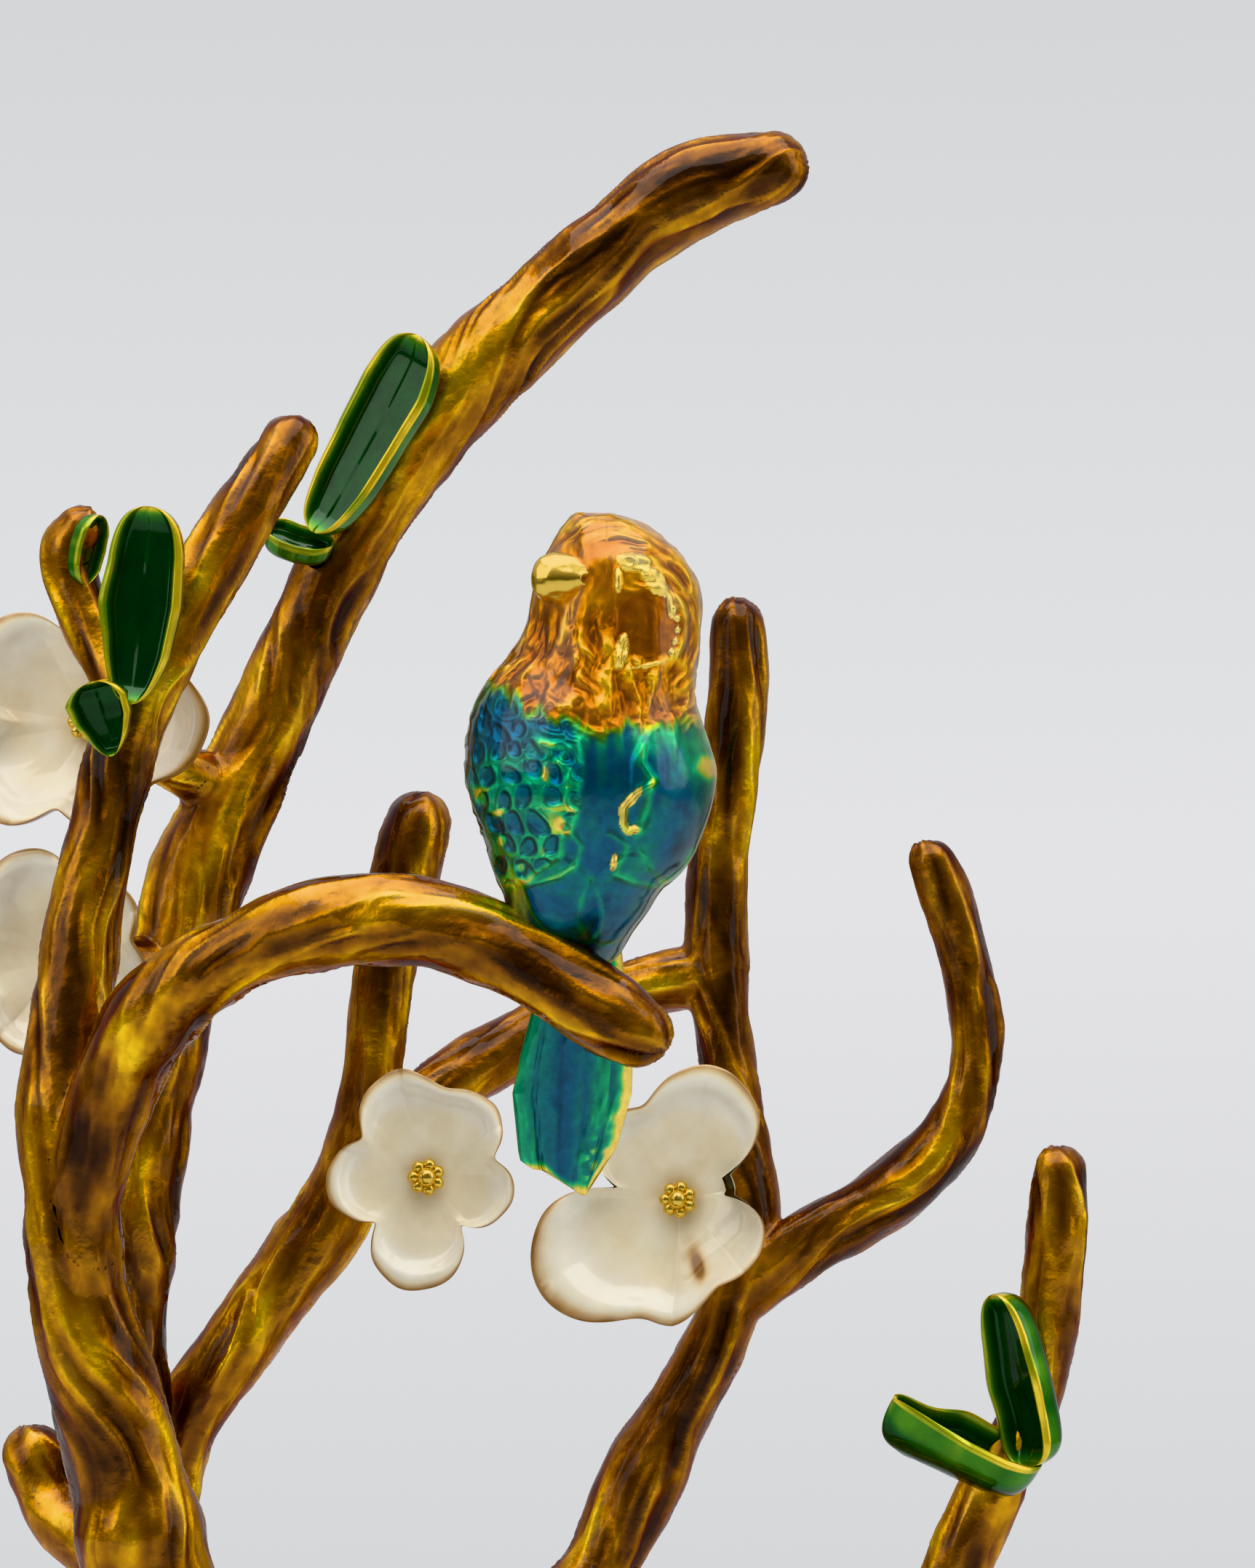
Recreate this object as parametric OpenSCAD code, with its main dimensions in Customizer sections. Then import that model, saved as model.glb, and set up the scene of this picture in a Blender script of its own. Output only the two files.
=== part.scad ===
// Enamelled bird on a flowering tree: a table-top ornament in cast metal and enamel.
// Millimetres, +Z up, origin in the middle of the underside of the base pad.
// Branches are cast tubes with cylindrical spigots that sit in drilled bores of the branch they grow from.

/* [Overall] */
// height of the tree from the table to the top of the tall branch
tree_height = 175; // [150:1:210]
// spread of the tree from the left rim of the base to the low right branch
tree_width = 96; // [80:1:115]
// thickness of the main limb halfway up
limb_d = 7; // [5.8:0.1:8.4]

/* [Base] */
// width of the oval base
base_w = 84; // [70:1:100]
// depth of the oval base
base_d = 72; // [60:1:86]
// height of the mound above the pad
base_h = 11; // [8:0.5:14]
// thickness of the felt pad under the base
pad_t = 1.2; // [0.8:0.1:3]
// screw shank diameter
screw_d = 4; // [3:0.1:5]
// how far the screw goes into the trunk
screw_reach = 14; // [8:0.5:20]
// washer thickness
washer_t = 0.8; // [0.6:0.1:1.2]

/* [Pegs and fits] */
// spigot diameter of the branches
peg_d = 2.4; // [1.8:0.1:3]
// half length of the spigot where two lengths of one limb meet
peg_len = 2.4; // [1.5:0.1:3]
// radial clearance of every spigot, pin and screw
fit = 0.06; // [0.03:0.01:0.15]
// solder gap between a branch end and the branch it sits on
seam = 0.05; // [0.02:0.01:0.15]

/* [Leaves] */
// length of the large leaf cup on the left limb
leaf_len = 13.3; // [11:0.1:16]
// width of the large leaf cup on the left limb
leaf_w = 5.4; // [4.4:0.1:6.6]
// enamelled wall of the leaves
leaf_t = 0.8; // [0.6:0.05:1.2]

/* [Blossoms] */
// diameter of the middle blossom
blossom_d = 15; // [12:0.1:18]
// diameter of the large blossom on the right limb
big_blossom_d = 19; // [15.5:0.1:23]
// petal thickness
petal_t = 1.0; // [0.8:0.05:1.4]
// diameter of the gilt bead in the middle of a blossom
bead_d = 3; // [2.4:0.1:3.8]
// diameter of the pin behind the bead
pin_d = 1.2; // [1:0.1:1.6]

/* [Bird] */
// height of the bird from the perch to the crown
bird_h = 29; // [24:0.5:35]
// enamel thickness over the gilt casting
enamel_t = 0.5; // [0.4:0.05:0.7]
// how far the wings stand out of the body
wing_t = 0.7; // [0.5:0.05:1]
// diameter of the peg that holds the bird in the perch
bird_peg_d = 1.8; // [1.4:0.1:2.2]

/* [Hidden] */
$fn = 24;
BARK = [0.48, 0.29, 0.07];
GREEN = [0.05, 0.33, 0.13];
CREAM = [0.87, 0.82, 0.70];
GILT = [0.85, 0.66, 0.22];
AMBER = [0.82, 0.50, 0.08];
TEAL = [0.02, 0.38, 0.42];
FELT = [0.16, 0.17, 0.16];
STEEL = [0.62, 0.63, 0.64];
sides = 12;
sx = tree_width / 96;
sz = tree_height / 175;
sr = limb_d / 7;
seat_z = pad_t + base_h;

// A point of the tree layout, stretched with the overall sizes.
function P(x, y, z) = [x * sx, y * sx, z * sz];
// A route point: place and radius.
function Q(p) = [p[0] * sx, p[1] * sx, p[2] * sz, p[3] * sr];
function xyz(p) = [p[0], p[1], p[2]];
// A side branch that keeps its shape at its foot: laid out from its first point by limb thickness alone.
function tied(p) = let (h = p[0])
  [for (q = p) [for (i = [0 : 2]) h[i] + (q[i] - h[i]) * sr / [sx, sx, sz][i], q[3]]];
function unit(v) = v / norm(v);

// Smooth route through the given points, n steps for each leg.
function leg(a, b, c, d, t) = 0.5 * (2 * b + (c - a) * t + (2 * a - 5 * b + 4 * c - d) * t * t
  + (3 * b - a - 3 * c + d) * t * t * t);
function route(p, n = 2) = let (m = len(p) - 1) concat(
  [for (i = [0 : m - 1]) for (k = [0 : n - 1])
    leg(Q(p[max(i - 1, 0)]), Q(p[i]), Q(p[i + 1]), Q(p[min(i + 2, m)]), k / n)],
  [Q(p[m])]);
function along(v, i) = unit(xyz(v[min(i + 1, len(v) - 1)]) - xyz(v[max(i - 1, 0)]));
// Rounded end: shrinking rings beyond the last point.
function rounded(v) = let (e = v[len(v) - 1], t = along(v, len(v) - 1)) concat(v,
  [for (a = [35, 65, 84]) let (c = xyz(e) + t * e[3] * sin(a)) [c[0], c[1], c[2], e[3] * cos(a)]]);
// One ring of a branch, slightly lobed like bark; grow widens it.
function ring(v, i, grow) = let (t = along(v, i), u = unit(cross(t, [0, 1, 0])), w = cross(t, u))
  [for (j = [0 : sides - 1])
    let (a = 360 * j / sides, r = (v[i][3] + grow) * (1 + 0.05 * cos(3 * a + 24 * i)))
    xyz(v[i]) + u * r * cos(a) + w * r * sin(a)];

// Closed skin over a stack of rings with the same number of points.
module skin(rings) {
  s = len(rings[0]);
  m = len(rings);
  polyhedron(
    points = [for (q = rings) for (p = q) p],
    faces = concat(
      [[for (j = [0 : s - 1]) j]],
      [for (i = [0 : m - 2]) for (j = [0 : s - 1]) [i * s + j, (i + 1) * s + j, (i + 1) * s + (j + 1) % s]],
      [for (i = [0 : m - 2]) for (j = [0 : s - 1])
        [i * s + j, (i + 1) * s + (j + 1) % s, i * s + (j + 1) % s]],
      [[for (j = [s - 1 : -1 : 0]) (m - 1) * s + j]]));
}

// The whole branch, or its length between two rings.
module tube(v, grow = 0, first = 0, last = 0) {
  skin([for (i = [first : (last > 0) ? last : len(v) - 1]) ring(v, i, grow)]);
}

// A cylinder from point a towards point b, starting 'back' behind a.
module rod(a, b, d, length, back = 0) {
  v = unit(b - a);
  s = a - v * back;
  translate(s)
    rotate([0, acos(v[2]), atan2(v[1], v[0])])
      cylinder(d = d, h = length + back);
}

// Branch routes: x, y, z, radius.
MAIN = [[0, 0, 12.2, 10.5], [0, 0, 16, 8.6], [-1, 0, 24, 7.4], [-2.5, -1, 33, 6.8], [-5, -2, 43, 6.2],
  [-9, -4, 55, 5.4], [-13, -6, 65, 4.9], [-15.5, -7, 77, 4.3], [-18.5, -8, 89, 3.7], [-19.5, -8, 101, 3.5],
  [-19, -7, 113, 2.95], [-17, -6, 124, 2.65], [-14.5, -6, 132, 2.6], [-10.5, -5, 140, 2.5],
  [-6.5, -3.5, 146.5, 2.4], [-4.2, -2, 150.4, 2.1]];
PERCH = [[-18.9, -8.6, 98.5, 2.2], [-15.5, -13, 105.5, 3.1], [-12, -16, 111, 3.1], [-7, -18, 114.2, 3],
  [-1.7, -19, 116.2, 3.1], [3.4, -20, 116.7, 3.2], [8, -21, 116, 3], [12, -22, 114.5, 2.8],
  [15.2, -23, 112.7, 2.8], [18.4, -24, 110.6, 2.8], [20.6, -24.6, 109.2, 2.5]];
TALL = [[-10, -4, 57, 2.8], [-14, 4, 66, 3.7], [-17, 9, 77, 3.7], [-17, 10, 88, 3.6], [-16, 10, 98, 3.7],
  [-14.5, 11, 108, 3.7], [-12, 12, 118, 3.7], [-9, 13, 125, 3.4], [-6.5, 14, 131, 3.3],
  [-0.5, 14, 143.6, 3.2], [6.4, 14, 154, 3.45], [13.7, 14, 161, 3.55], [20.4, 14, 167, 3.45],
  [25.5, 14, 170.3, 3.3], [30.6, 14, 171.6, 2.7]];
FLOWER = [[-14.3, 4.6, 66.5, 2.2], [-15, 10.5, 69, 3], [-14.3, 13.5, 74, 2.95], [-12.9, 14, 78.6, 2.9],
  [-8.9, 14, 84.5, 2.9], [-5.2, 15, 89.5, 2.9], [-1.5, 16, 94.6, 2.8], [0.6, 17, 100, 2.7],
  [1.2, 17, 106, 2.5], [2, 17, 112.5, 2.55], [3.5, 17, 119.5, 2.6], [4.4, 17, 123, 2.4]];
CROSS = [[0.5, 17, 99, 2], [5.7, 20, 103, 2.4], [11, 22, 106, 2.4], [16.6, 23.5, 108.8, 2.4],
  [21.5, 23.5, 110.8, 2.3], [26.8, 22.5, 111.6, 2.2]];
RIGHT = [[-3, -0.8, 36, 3.6], [3, 3.5, 43, 4.5], [8, 8, 52, 3.9], [13, 13, 60, 3.5], [17.8, 17, 67.5, 3.1],
  [20.7, 18, 73.3, 3], [23.2, 18, 78.2, 2.8], [26, 18, 83.2, 2.6], [28, 18.3, 88, 2.6], [29, 19, 92.5, 2.5],
  [28.6, 20, 97.8, 2.45], [27.8, 21, 103, 2.4], [26.8, 22.3, 111, 2.25], [26.8, 23, 119, 2.3],
  [27.8, 23, 127, 2.4], [28.3, 23, 133, 2.4], [28.2, 23, 138, 2.2]];
HOOK = [[28, 18.3, 87.8, 2], [33.2, 18, 91.5, 2.5], [37.8, 18, 94.2, 2.45], [41.8, 18, 97.2, 2.4],
  [44.8, 18, 101, 2.25], [46.2, 18, 105.8, 1.95], [45.7, 18, 111, 1.95], [44.3, 18, 115.9, 2.05],
  [42.8, 18, 120, 2]];
LOW = [[7, 7.3, 50, 2.6], [15, 10, 51.5, 3.2], [24, 11.5, 53.5, 3.1], [32, 11.5, 56.5, 3],
  [38.5, 11, 60.5, 2.9], [42.6, 10.5, 65, 2.75], [45.2, 10, 71, 2.5], [48.1, 10, 76.5, 2.15], [50.2, 10, 82, 2.05],
  [51, 10, 87.5, 2.1], [51.6, 10, 93.5, 2.3], [51.7, 10, 97.4, 2]];
STUB = [[-15, 10.4, 69, 2.2], [-19, 13.5, 69.8, 2.8], [-22.3, 16, 72.2, 2.7], [-24, 17, 75.8, 2.5]];
CURL = [[-14.8, -6, 131, 1.5], [-17.8, -3.8, 136, 1.8], [-19.5, -2.6, 140.3, 1.7], [-19.9, -2.6, 143, 1.5],
  [-19.2, -3, 144.6, 1.1]];
SPUR_UP = [[-9.6, 13, 125.3, 1.6], [-14.5, 9.5, 128, 1.8], [-17.3, 7, 129.6, 1.6]];
SPUR_LOW = [[-13.5, 11.4, 112, 1.6], [-17, 7.5, 113, 1.8], [-19.2, 5, 113.3, 1.6]];

main_v = rounded(route(MAIN));
// the trunk ends and the left limb starts at this ring
split = 9;
right_v = rounded(route(RIGHT));
// the right stem ends and the right limb starts at this ring
fork = 8;
perch_v = rounded(route(PERCH));
tall_v = rounded(route(TALL));
flower_v = rounded(route(FLOWER));
cross_v = route(CROSS);
hook_v = rounded(route(tied(HOOK)));
low_v = rounded(route(LOW));
stub_v = rounded(route(STUB));
curl_v = rounded(route(tied(CURL)));
spur_up_v = route(SPUR_UP);
spur_low_v = route(SPUR_LOW);

// Spigot of a branch: from its axis at ring k to a point on the axis of the branch that carries it.
JOINTS = [["perch", P(-19.4, -7.9, 102.3)], ["tall", P(-10.9, -5, 59.8)], ["flower", P(-15, 5.4, 68)],
  ["stub", P(-15, 10.5, 69)], ["cross", P(0.4, 16.9, 99)], ["stem", P(-4, -1.5, 40)], ["low", P(7, 7, 50)],
  ["hook", P(28, 18.3, 88)], ["curl", P(-14.4, -6, 132.2)], ["spur_up", P(-8.8, 13, 125.3)],
  ["spur_low", P(-13.5, 11.4, 112)]];
function joint_end(name) = [for (q = JOINTS) if (q[0] == name) q[1]][0];
module peg(v, k, name, grow = 0) {
  a = xyz(v[k]);
  b = joint_end(name);
  rod(a, b, peg_d + 2 * grow, norm(b - a) + grow);
}
// Where two lengths of one limb meet: spigot of the upper length.
module step_peg(v, k, grow = 0) {
  rod(xyz(v[k]), xyz(v[k]) + along(v, k), peg_d + 2 * grow, 0.5, 2 * peg_len + grow);
}

// Radial outline of the mound, wavy like ground with roots.
function mound_r(a) = let (c = cos(a) / (base_w / 2), s = sin(a) / (base_d / 2))
  (1 / sqrt(c * c + s * s)) * (1 + 0.02 * cos(5 * a + 20));
function mound_ring(f, z, lift) = [for (j = [0 : 29]) let (a = 12 * j, r = mound_r(a) * f)
  [r * cos(a), r * sin(a), z + lift * (1 + cos(5 * a))]];

module base_mound() {
  color(BARK) difference() {
    skin([mound_ring(0.965, pad_t, 0), mound_ring(1, pad_t + 1.4, 0), mound_ring(0.985, pad_t + 3.2, 0),
      mound_ring(0.86, pad_t + 5.2, 0.3), mound_ring(0.66, pad_t + 7.2, 0.5),
      mound_ring(0.46, pad_t + 9, 0.4), mound_ring(0.34, seat_z, 0)]);
    translate([0, 0, -1])
      cylinder(d = screw_d + 2 * fit, h = seat_z + 2);
    translate([0, 0, -1])
      cylinder(d = 2.4 * screw_d, h = pad_t + 1 + 0.9 * screw_d);
  }
}

module base_pad() {
  color(FELT) linear_extrude(pad_t)
    polygon([for (j = [0 : 59]) let (a = 6 * j, r = mound_r(a) * 0.93) [r * cos(a), r * sin(a)]]);
}

// top of the counterbore that takes the washer and the screw head
bore_top = pad_t + 0.9 * screw_d;

module base_washer() {
  color(STEEL) translate([0, 0, bore_top - washer_t]) difference() {
    cylinder(d = 2.2 * screw_d, h = washer_t);
    translate([0, 0, -1])
      cylinder(d = screw_d + 2 * fit, h = washer_t + 2);
  }
}

module base_screw() {
  color(STEEL) union() {
    translate([0, 0, bore_top - washer_t - 0.55 * screw_d])
      cylinder(d = 1.8 * screw_d, h = 0.55 * screw_d);
    translate([0, 0, bore_top - washer_t - 0.1])
      cylinder(d = screw_d, h = seat_z + screw_reach - bore_top + washer_t + 0.1);
  }
}

// trunk foot is level with the seat of the mound
module trunk() {
  color(BARK) difference() {
    resize([0, 0, 0]) intersection() {
      tube(main_v, 0, 0, split);
      translate([-40, -40, seat_z])
        cube([80, 80, 200]);
    }
    translate([0, 0, seat_z - 1])
      cylinder(d = screw_d + 2 * fit, h = screw_reach + 1.5);
    step_peg(main_v, split, fit);
    peg(right_v, 2, "stem", fit);
  }
}

module left_limb() {
  color(BARK) difference() {
    union() {
      tube(main_v, 0, split);
      step_peg(main_v, split);
    }
    peg(perch_v, 2, "perch", fit);
    peg(tall_v, 2, "tall", fit);
    peg(curl_v, 2, "curl", fit);
    leaf_pin(LEAF_LL, fit);
    leaf_pin(LEAF_LS, fit);
  }
}

module perch_branch() {
  color(BARK) difference() {
    union() {
      resize([0, 0, 0]) difference() {
        tube(perch_v);
        tube(main_v, seam);
      }
      peg(perch_v, 2, "perch");
    }
    bird_peg(fit);
  }
}

module tall_branch() {
  color(BARK) difference() {
    union() {
      resize([0, 0, 0]) difference() {
        tube(tall_v);
        tube(main_v, seam);
      }
      peg(tall_v, 2, "tall");
    }
    peg(flower_v, 2, "flower", fit);
    peg(stub_v, 2, "stub", fit);
    peg(spur_up_v, 2, "spur_up", fit);
    peg(spur_low_v, 2, "spur_low", fit);
    leaf_pin(LEAF_TL, fit);
    leaf_pin(LEAF_TS, fit);
  }
}

module flower_branch() {
  color(BARK) difference() {
    union() {
      resize([0, 0, 0]) difference() {
        tube(flower_v);
        tube(tall_v, seam);
        tube(main_v, seam);
      }
      peg(flower_v, 2, "flower");
    }
    peg(cross_v, 1, "cross", fit);
    peg(stub_v, 2, "stub", fit);
    blossom_pin(BL_MID, fit);
  }
}

module cross_twig() {
  color(BARK) difference() {
    union() {
      resize([0, 0, 0]) difference() {
        tube(cross_v);
        tube(flower_v, seam);
        tube(right_v, seam);
      }
      peg(cross_v, 1, "cross");
    }
    blossom_pin(BL_MID, fit);
  }
}

module right_stem() {
  color(BARK) difference() {
    union() {
      resize([0, 0, 0]) difference() {
        tube(right_v, 0, 0, fork);
        tube(main_v, seam);
      }
      peg(right_v, 2, "stem");
    }
    step_peg(right_v, fork, fit);
    peg(low_v, 2, "low", fit);
  }
}

module right_limb() {
  color(BARK) difference() {
    union() {
      tube(right_v, 0, fork);
      step_peg(right_v, fork);
    }
    peg(hook_v, 1, "hook", fit);
    blossom_pin(BL_BIG, fit);
  }
}

module hook_branch() {
  color(BARK) union() {
    resize([0, 0, 0]) difference() {
      tube(hook_v);
      tube(right_v, seam);
    }
    peg(hook_v, 1, "hook");
  }
}

module low_right_branch() {
  color(BARK) difference() {
    union() {
      resize([0, 0, 0]) difference() {
        tube(low_v);
        tube(right_v, seam);
      }
      peg(low_v, 2, "low");
    }
    leaf_pin(LEAF_RU, fit);
    leaf_pin(LEAF_RL, fit);
  }
}

module stub_branch() {
  color(BARK) union() {
    resize([0, 0, 0]) difference() {
      tube(stub_v);
      tube(flower_v, seam);
      tube(tall_v, seam);
    }
    peg(stub_v, 2, "stub");
  }
}

module curled_twig() {
  color(BARK) difference() {
    union() {
      resize([0, 0, 0]) difference() {
        tube(curl_v);
        tube(main_v, seam);
      }
      peg(curl_v, 2, "curl");
    }
    leaf_pin(LEAF_BUD, fit);
  }
}

module spur(v, k, name, b) {
  color(BARK) difference() {
    union() {
      resize([0, 0, 0]) difference() {
        tube(v);
        tube(tall_v, seam);
      }
      peg(v, k, name);
    }
    blossom_pin(b, fit);
  }
}
module spur_upper() {
  spur(spur_up_v, 2, "spur_up", BL_UP);
}
module spur_lower() {
  spur(spur_low_v, 2, "spur_low", BL_LOW);
}

// Leaf cups: foot, tip, facing, width, cup depth, anchor on the axis of the branch. Two are tied to
// another point as well: that point, and how their distance to it grows.
// A leaf is placed from its anchor, so that it stays on its branch at every spread and thickness.
LEAF_LL = [[-15, -10.6, 132], [-13.7, -11.4, 132 + leaf_len], [-0.3, -1, 0.1], leaf_w, 1.7,
  [-13.4, -6, 134.5]];
LEAF_LS = [[-15.9, -10.2, 128.4], [-18.5, -10.9, 133.2], [-0.3, -1, 0.35], 3.4, 1.1,
  [-15.6, -6, 128.8], LEAF_LL[5], 1];
LEAF_TL = [[-3, 8.8, 144.2], [5, 7.6, 158.9], [-0.5, -0.85, 0.1], 5.8, 1.8, [3, 14, 149.2]];
LEAF_TS = [[-3.4, 11.2, 139.8], [-6.2, 10.2, 145.2], [-0.7, -0.7, 0], 3, 0.9, [-1.6, 14, 141.6]];
LEAF_RU = [[48.8, 7, 78.6], [46, 6.4, 88.9], [-0.7, -0.7, 0], 3.6, 1.2, [49.8, 10, 81]];
LEAF_RL = [[48.3, 6.6, 74.6], [39.8, 6, 81], [0.15, -0.75, 0.65], 5.2, 1.6, [47.6, 10, 75.6]];
LEAF_BUD = [[-18.4, -4.6, 140.6], [-17.5, -4.4, 145], [0.7, -0.7, 0], 2, 0.6,
  [-19.3, -2.8, 141], CURL[0], sr];
// radius of the branches that carry leaves, at the given thickness
branch_r = 3;
function anchor(l) = (len(l) == 6) ? P(l[5][0], l[5][1], l[5][2])
  : P(l[6][0], l[6][1], l[6][2]) + (l[5] - xyz(l[6])) * l[7];
function leaf_at(l, p) = anchor(l) + p - l[5] + unit(l[2]) * branch_r * (sr - 1);

function leaf_pt(f, t, s, n, w, d, u, v) = let (g = pow(sin(180 * (0.06 + 0.88 * u)), 0.6))
  f + (t - f) * u + s * (w / 2 * g * v) - n * (d * g * (1 - v * v)) + n * (0.8 * (u - 0.5) * (u - 0.5));

module leaf_body(l) {
  f = leaf_at(l, l[0]);
  t = leaf_at(l, l[1]);
  s = unit(cross(t - f, l[2]));
  n = unit(cross(s, t - f));
  // the ring runs across the inside of the cup and back along its outside
  skin([for (i = [0 : 7]) let (u = i / 7) concat(
    [for (j = [0 : 6]) leaf_pt(f, t, s, n, l[3], l[4], u, -1 + j / 3)],
    [for (j = [6 : -1 : 0]) leaf_pt(f, t, s, n, l[3] * 0.96, l[4], u, -1 + j / 3) - n * leaf_t])]);
}
// Pin on the back of a leaf, from the middle of its lower half into the branch.
function leaf_root(l) = let (f = leaf_at(l, l[0]), t = leaf_at(l, l[1]),
  s = unit(cross(t - f, l[2])), n = unit(cross(s, t - f)))
  leaf_pt(f, t, s, n, l[3], l[4], 0.28, 0) - n * leaf_t * 0.5;
module leaf_pin(l, grow = 0) {
  a = leaf_root(l);
  b = anchor(l);
  rod(a, b, pin_d + 2 * grow, norm(b - a) + grow);
}
module leaf(l, v) {
  color(GREEN) union() {
    resize([0, 0, 0]) difference() {
      leaf_body(l);
      tube(v, seam);
    }
    leaf_pin(l);
  }
}
module leaf_left_large() {
  leaf(LEAF_LL, main_v);
}
module leaf_left_small() {
  leaf(LEAF_LS, main_v);
}
module leaf_tall_large() {
  leaf(LEAF_TL, tall_v);
}
module leaf_tall_small() {
  leaf(LEAF_TS, tall_v);
}
module leaf_low_upper() {
  leaf(LEAF_RU, low_v);
}
module leaf_low_lower() {
  leaf(LEAF_RL, low_v);
}
module twig_bud() {
  leaf(LEAF_BUD, curl_v);
}

// Blossoms: centre, facing, radius, turn of the first petal, anchor inside the branch, cup.
BL_MID = [[5.1, 12.2, 97], [0.15, -1, 0.05], blossom_d / 2, 16, [1.3, 17.4, 98], 1.2];
BL_BIG = [[23.8, 12.4, 95.3], [-0.14, -1, 0.08], big_blossom_d / 2, 50, [28.8, 19.4, 95.6], 2.2];
BL_UP = [[-19, 3.6, 130.4], [-0.25, -0.9, 0.2], big_blossom_d / 2, 30, [-15.4, 8.7, 128.5], 2.6];
BL_LOW = [[-20.8, 2.4, 113.4], [-0.25, -0.95, 0.1], blossom_d / 2, 10, [-17.2, 7.3, 113.05], 2];

// Petal outline: five round lobes.
function lobes(a) = 0.6 + 0.4 * pow(abs(cos(2.5 * a)), 0.6);
function petal_pt(b, k, a, lift) = let (n = unit(b[1]), s = unit(cross(n, [0, 0, 1])), w = cross(s, n),
  r = b[2] * k * (1 - (1 - lobes(a)) * k),
  h = b[5] * pow(max(0, k - 0.3) / 0.7, 1.6) * (0.7 + 0.3 * cos(5 * a)) + lift)
  P(b[0][0], b[0][1], b[0][2]) + s * (r * cos(a + b[3])) + w * (r * sin(a + b[3])) + n * h;
module blossom(b) {
  // rings run from the middle of the back over the rim to the middle of the front
  color(CREAM) difference() {
    skin([for (q = [[0.3, -petal_t], [0.65, -petal_t], [0.96, -petal_t * 0.75], [1, -petal_t * 0.3], [0.93, 0],
        [0.62, 0], [0.3, 0]])
      [for (j = [0 : 29]) petal_pt(b, q[0], 12 * j, q[1])]]);
    blossom_pin(b, fit);
  }
}
module blossom_pin(b, grow = 0) {
  a = P(b[0][0], b[0][1], b[0][2]);
  c = P(b[4][0], b[4][1], b[4][2]);
  rod(a, c, pin_d + 2 * grow, norm(c - a) + grow, 1 + grow);
}
module pin(b) {
  n = unit(b[1]);
  color(GILT) union() {
    blossom_pin(b);
    difference() {
      translate(P(b[0][0], b[0][1], b[0][2]) + n * (bead_d * 0.3))
        sphere(d = bead_d, $fn = 24);
      blossom_solid(b);
    }
  }
}
// flat-backed cutter that leaves the bead seated on the blossom
module blossom_solid(b) {
  n = unit(b[1]);
  a = P(b[0][0], b[0][1], b[0][2]) + n * 0.02;
  rod(a, a - n, 4 * bead_d, bead_d);
}
module blossom_middle() {
  blossom(BL_MID);
}
module blossom_large() {
  blossom(BL_BIG);
}
module blossom_upper() {
  blossom(BL_UP);
}
module blossom_lower() {
  blossom(BL_LOW);
}
module pin_middle() {
  pin(BL_MID);
}
module pin_large() {
  pin(BL_BIG);
}
module pin_upper() {
  pin(BL_UP);
}
module pin_lower() {
  pin(BL_LOW);
}

// Bird: sections z, middle x, middle y, half width, half depth, measured from the perch point.
perch_at = P(15.4, -22.8, 112.8);
bs = bird_h / 29;
BODY = [[0.2, 0.2, 4.6, 3, 1.4], [2.7, 0.5, 2.9, 4.1, 3.9], [4.4, 1.1, 2.5, 4.8, 5],
  [5.9, 1.5, 2.1, 5.35, 5.8],
  [8.2, 2.1, 1.8, 6.7, 6.9], [10.5, 2.15, 1.7, 7.6, 7.5], [12.9, 2.1, 1.7, 8.35, 7.8], [15, 2, 1.7, 8.45, 7.7],
  [17.8, 1.5, 1.7, 7.75, 7.2], [20.2, 2.2, 1.8, 7.2, 6.6], [23, 3.4, 1.8, 6.2, 6], [25.6, 3.8, 1.8, 5.9, 5.9],
  [28.2, 3.6, 1.8, 5.2, 5.4], [30.2, 3.3, 1.8, 3.9, 4.2], [31.4, 2.9, 1.8, 2, 2.2], [31.7, 2.7, 1.8, 0.6, 0.6]];
TAIL = [[-15.3, 1.8, 6.9, 1.2, 0.6], [-14.6, 1.3, 6.8, 2.2, 0.9], [-12.3, 0.5, 6.5, 3.6, 1.1],
  [-8.3, 0.8, 5.9, 4.15, 1.2], [-3.3, 1.2, 5.3, 3.6, 1.3], [1.4, 0.4, 4.9, 3.2, 1.4]];
function oval(s, grow, n) = [for (j = [0 : n - 1]) let (a = 360 * j / n)
  perch_at + [bs * s[1] + max(0.08, bs * s[3] + grow) * cos(a),
    bs * s[2] + max(0.08, bs * s[4] + grow) * sin(a), bs * s[0]]];
// the loft is grown sideways, and stretched about its middle, so that a wider one wraps a narrower one
function ended(v, grow) = let (low = v[0][0], high = v[len(v) - 1][0], m = (low + high) / 2,
  f = 1 + 2 * grow / ((high - low) * bs))
  [for (s = v) [m + (s[0] - m) * f, s[1], s[2], s[3], s[4]]];
module loft(v, grow = 0, n = 20) {
  skin([for (s = ended(v, grow)) oval(s, grow, n)]);
}
// height of the colour line between head and body
neck_z = 18.2 * bs;
module above(h) {
  translate(perch_at + [-40, -40, h])
    cube([80, 80, 60]);
}
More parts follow.
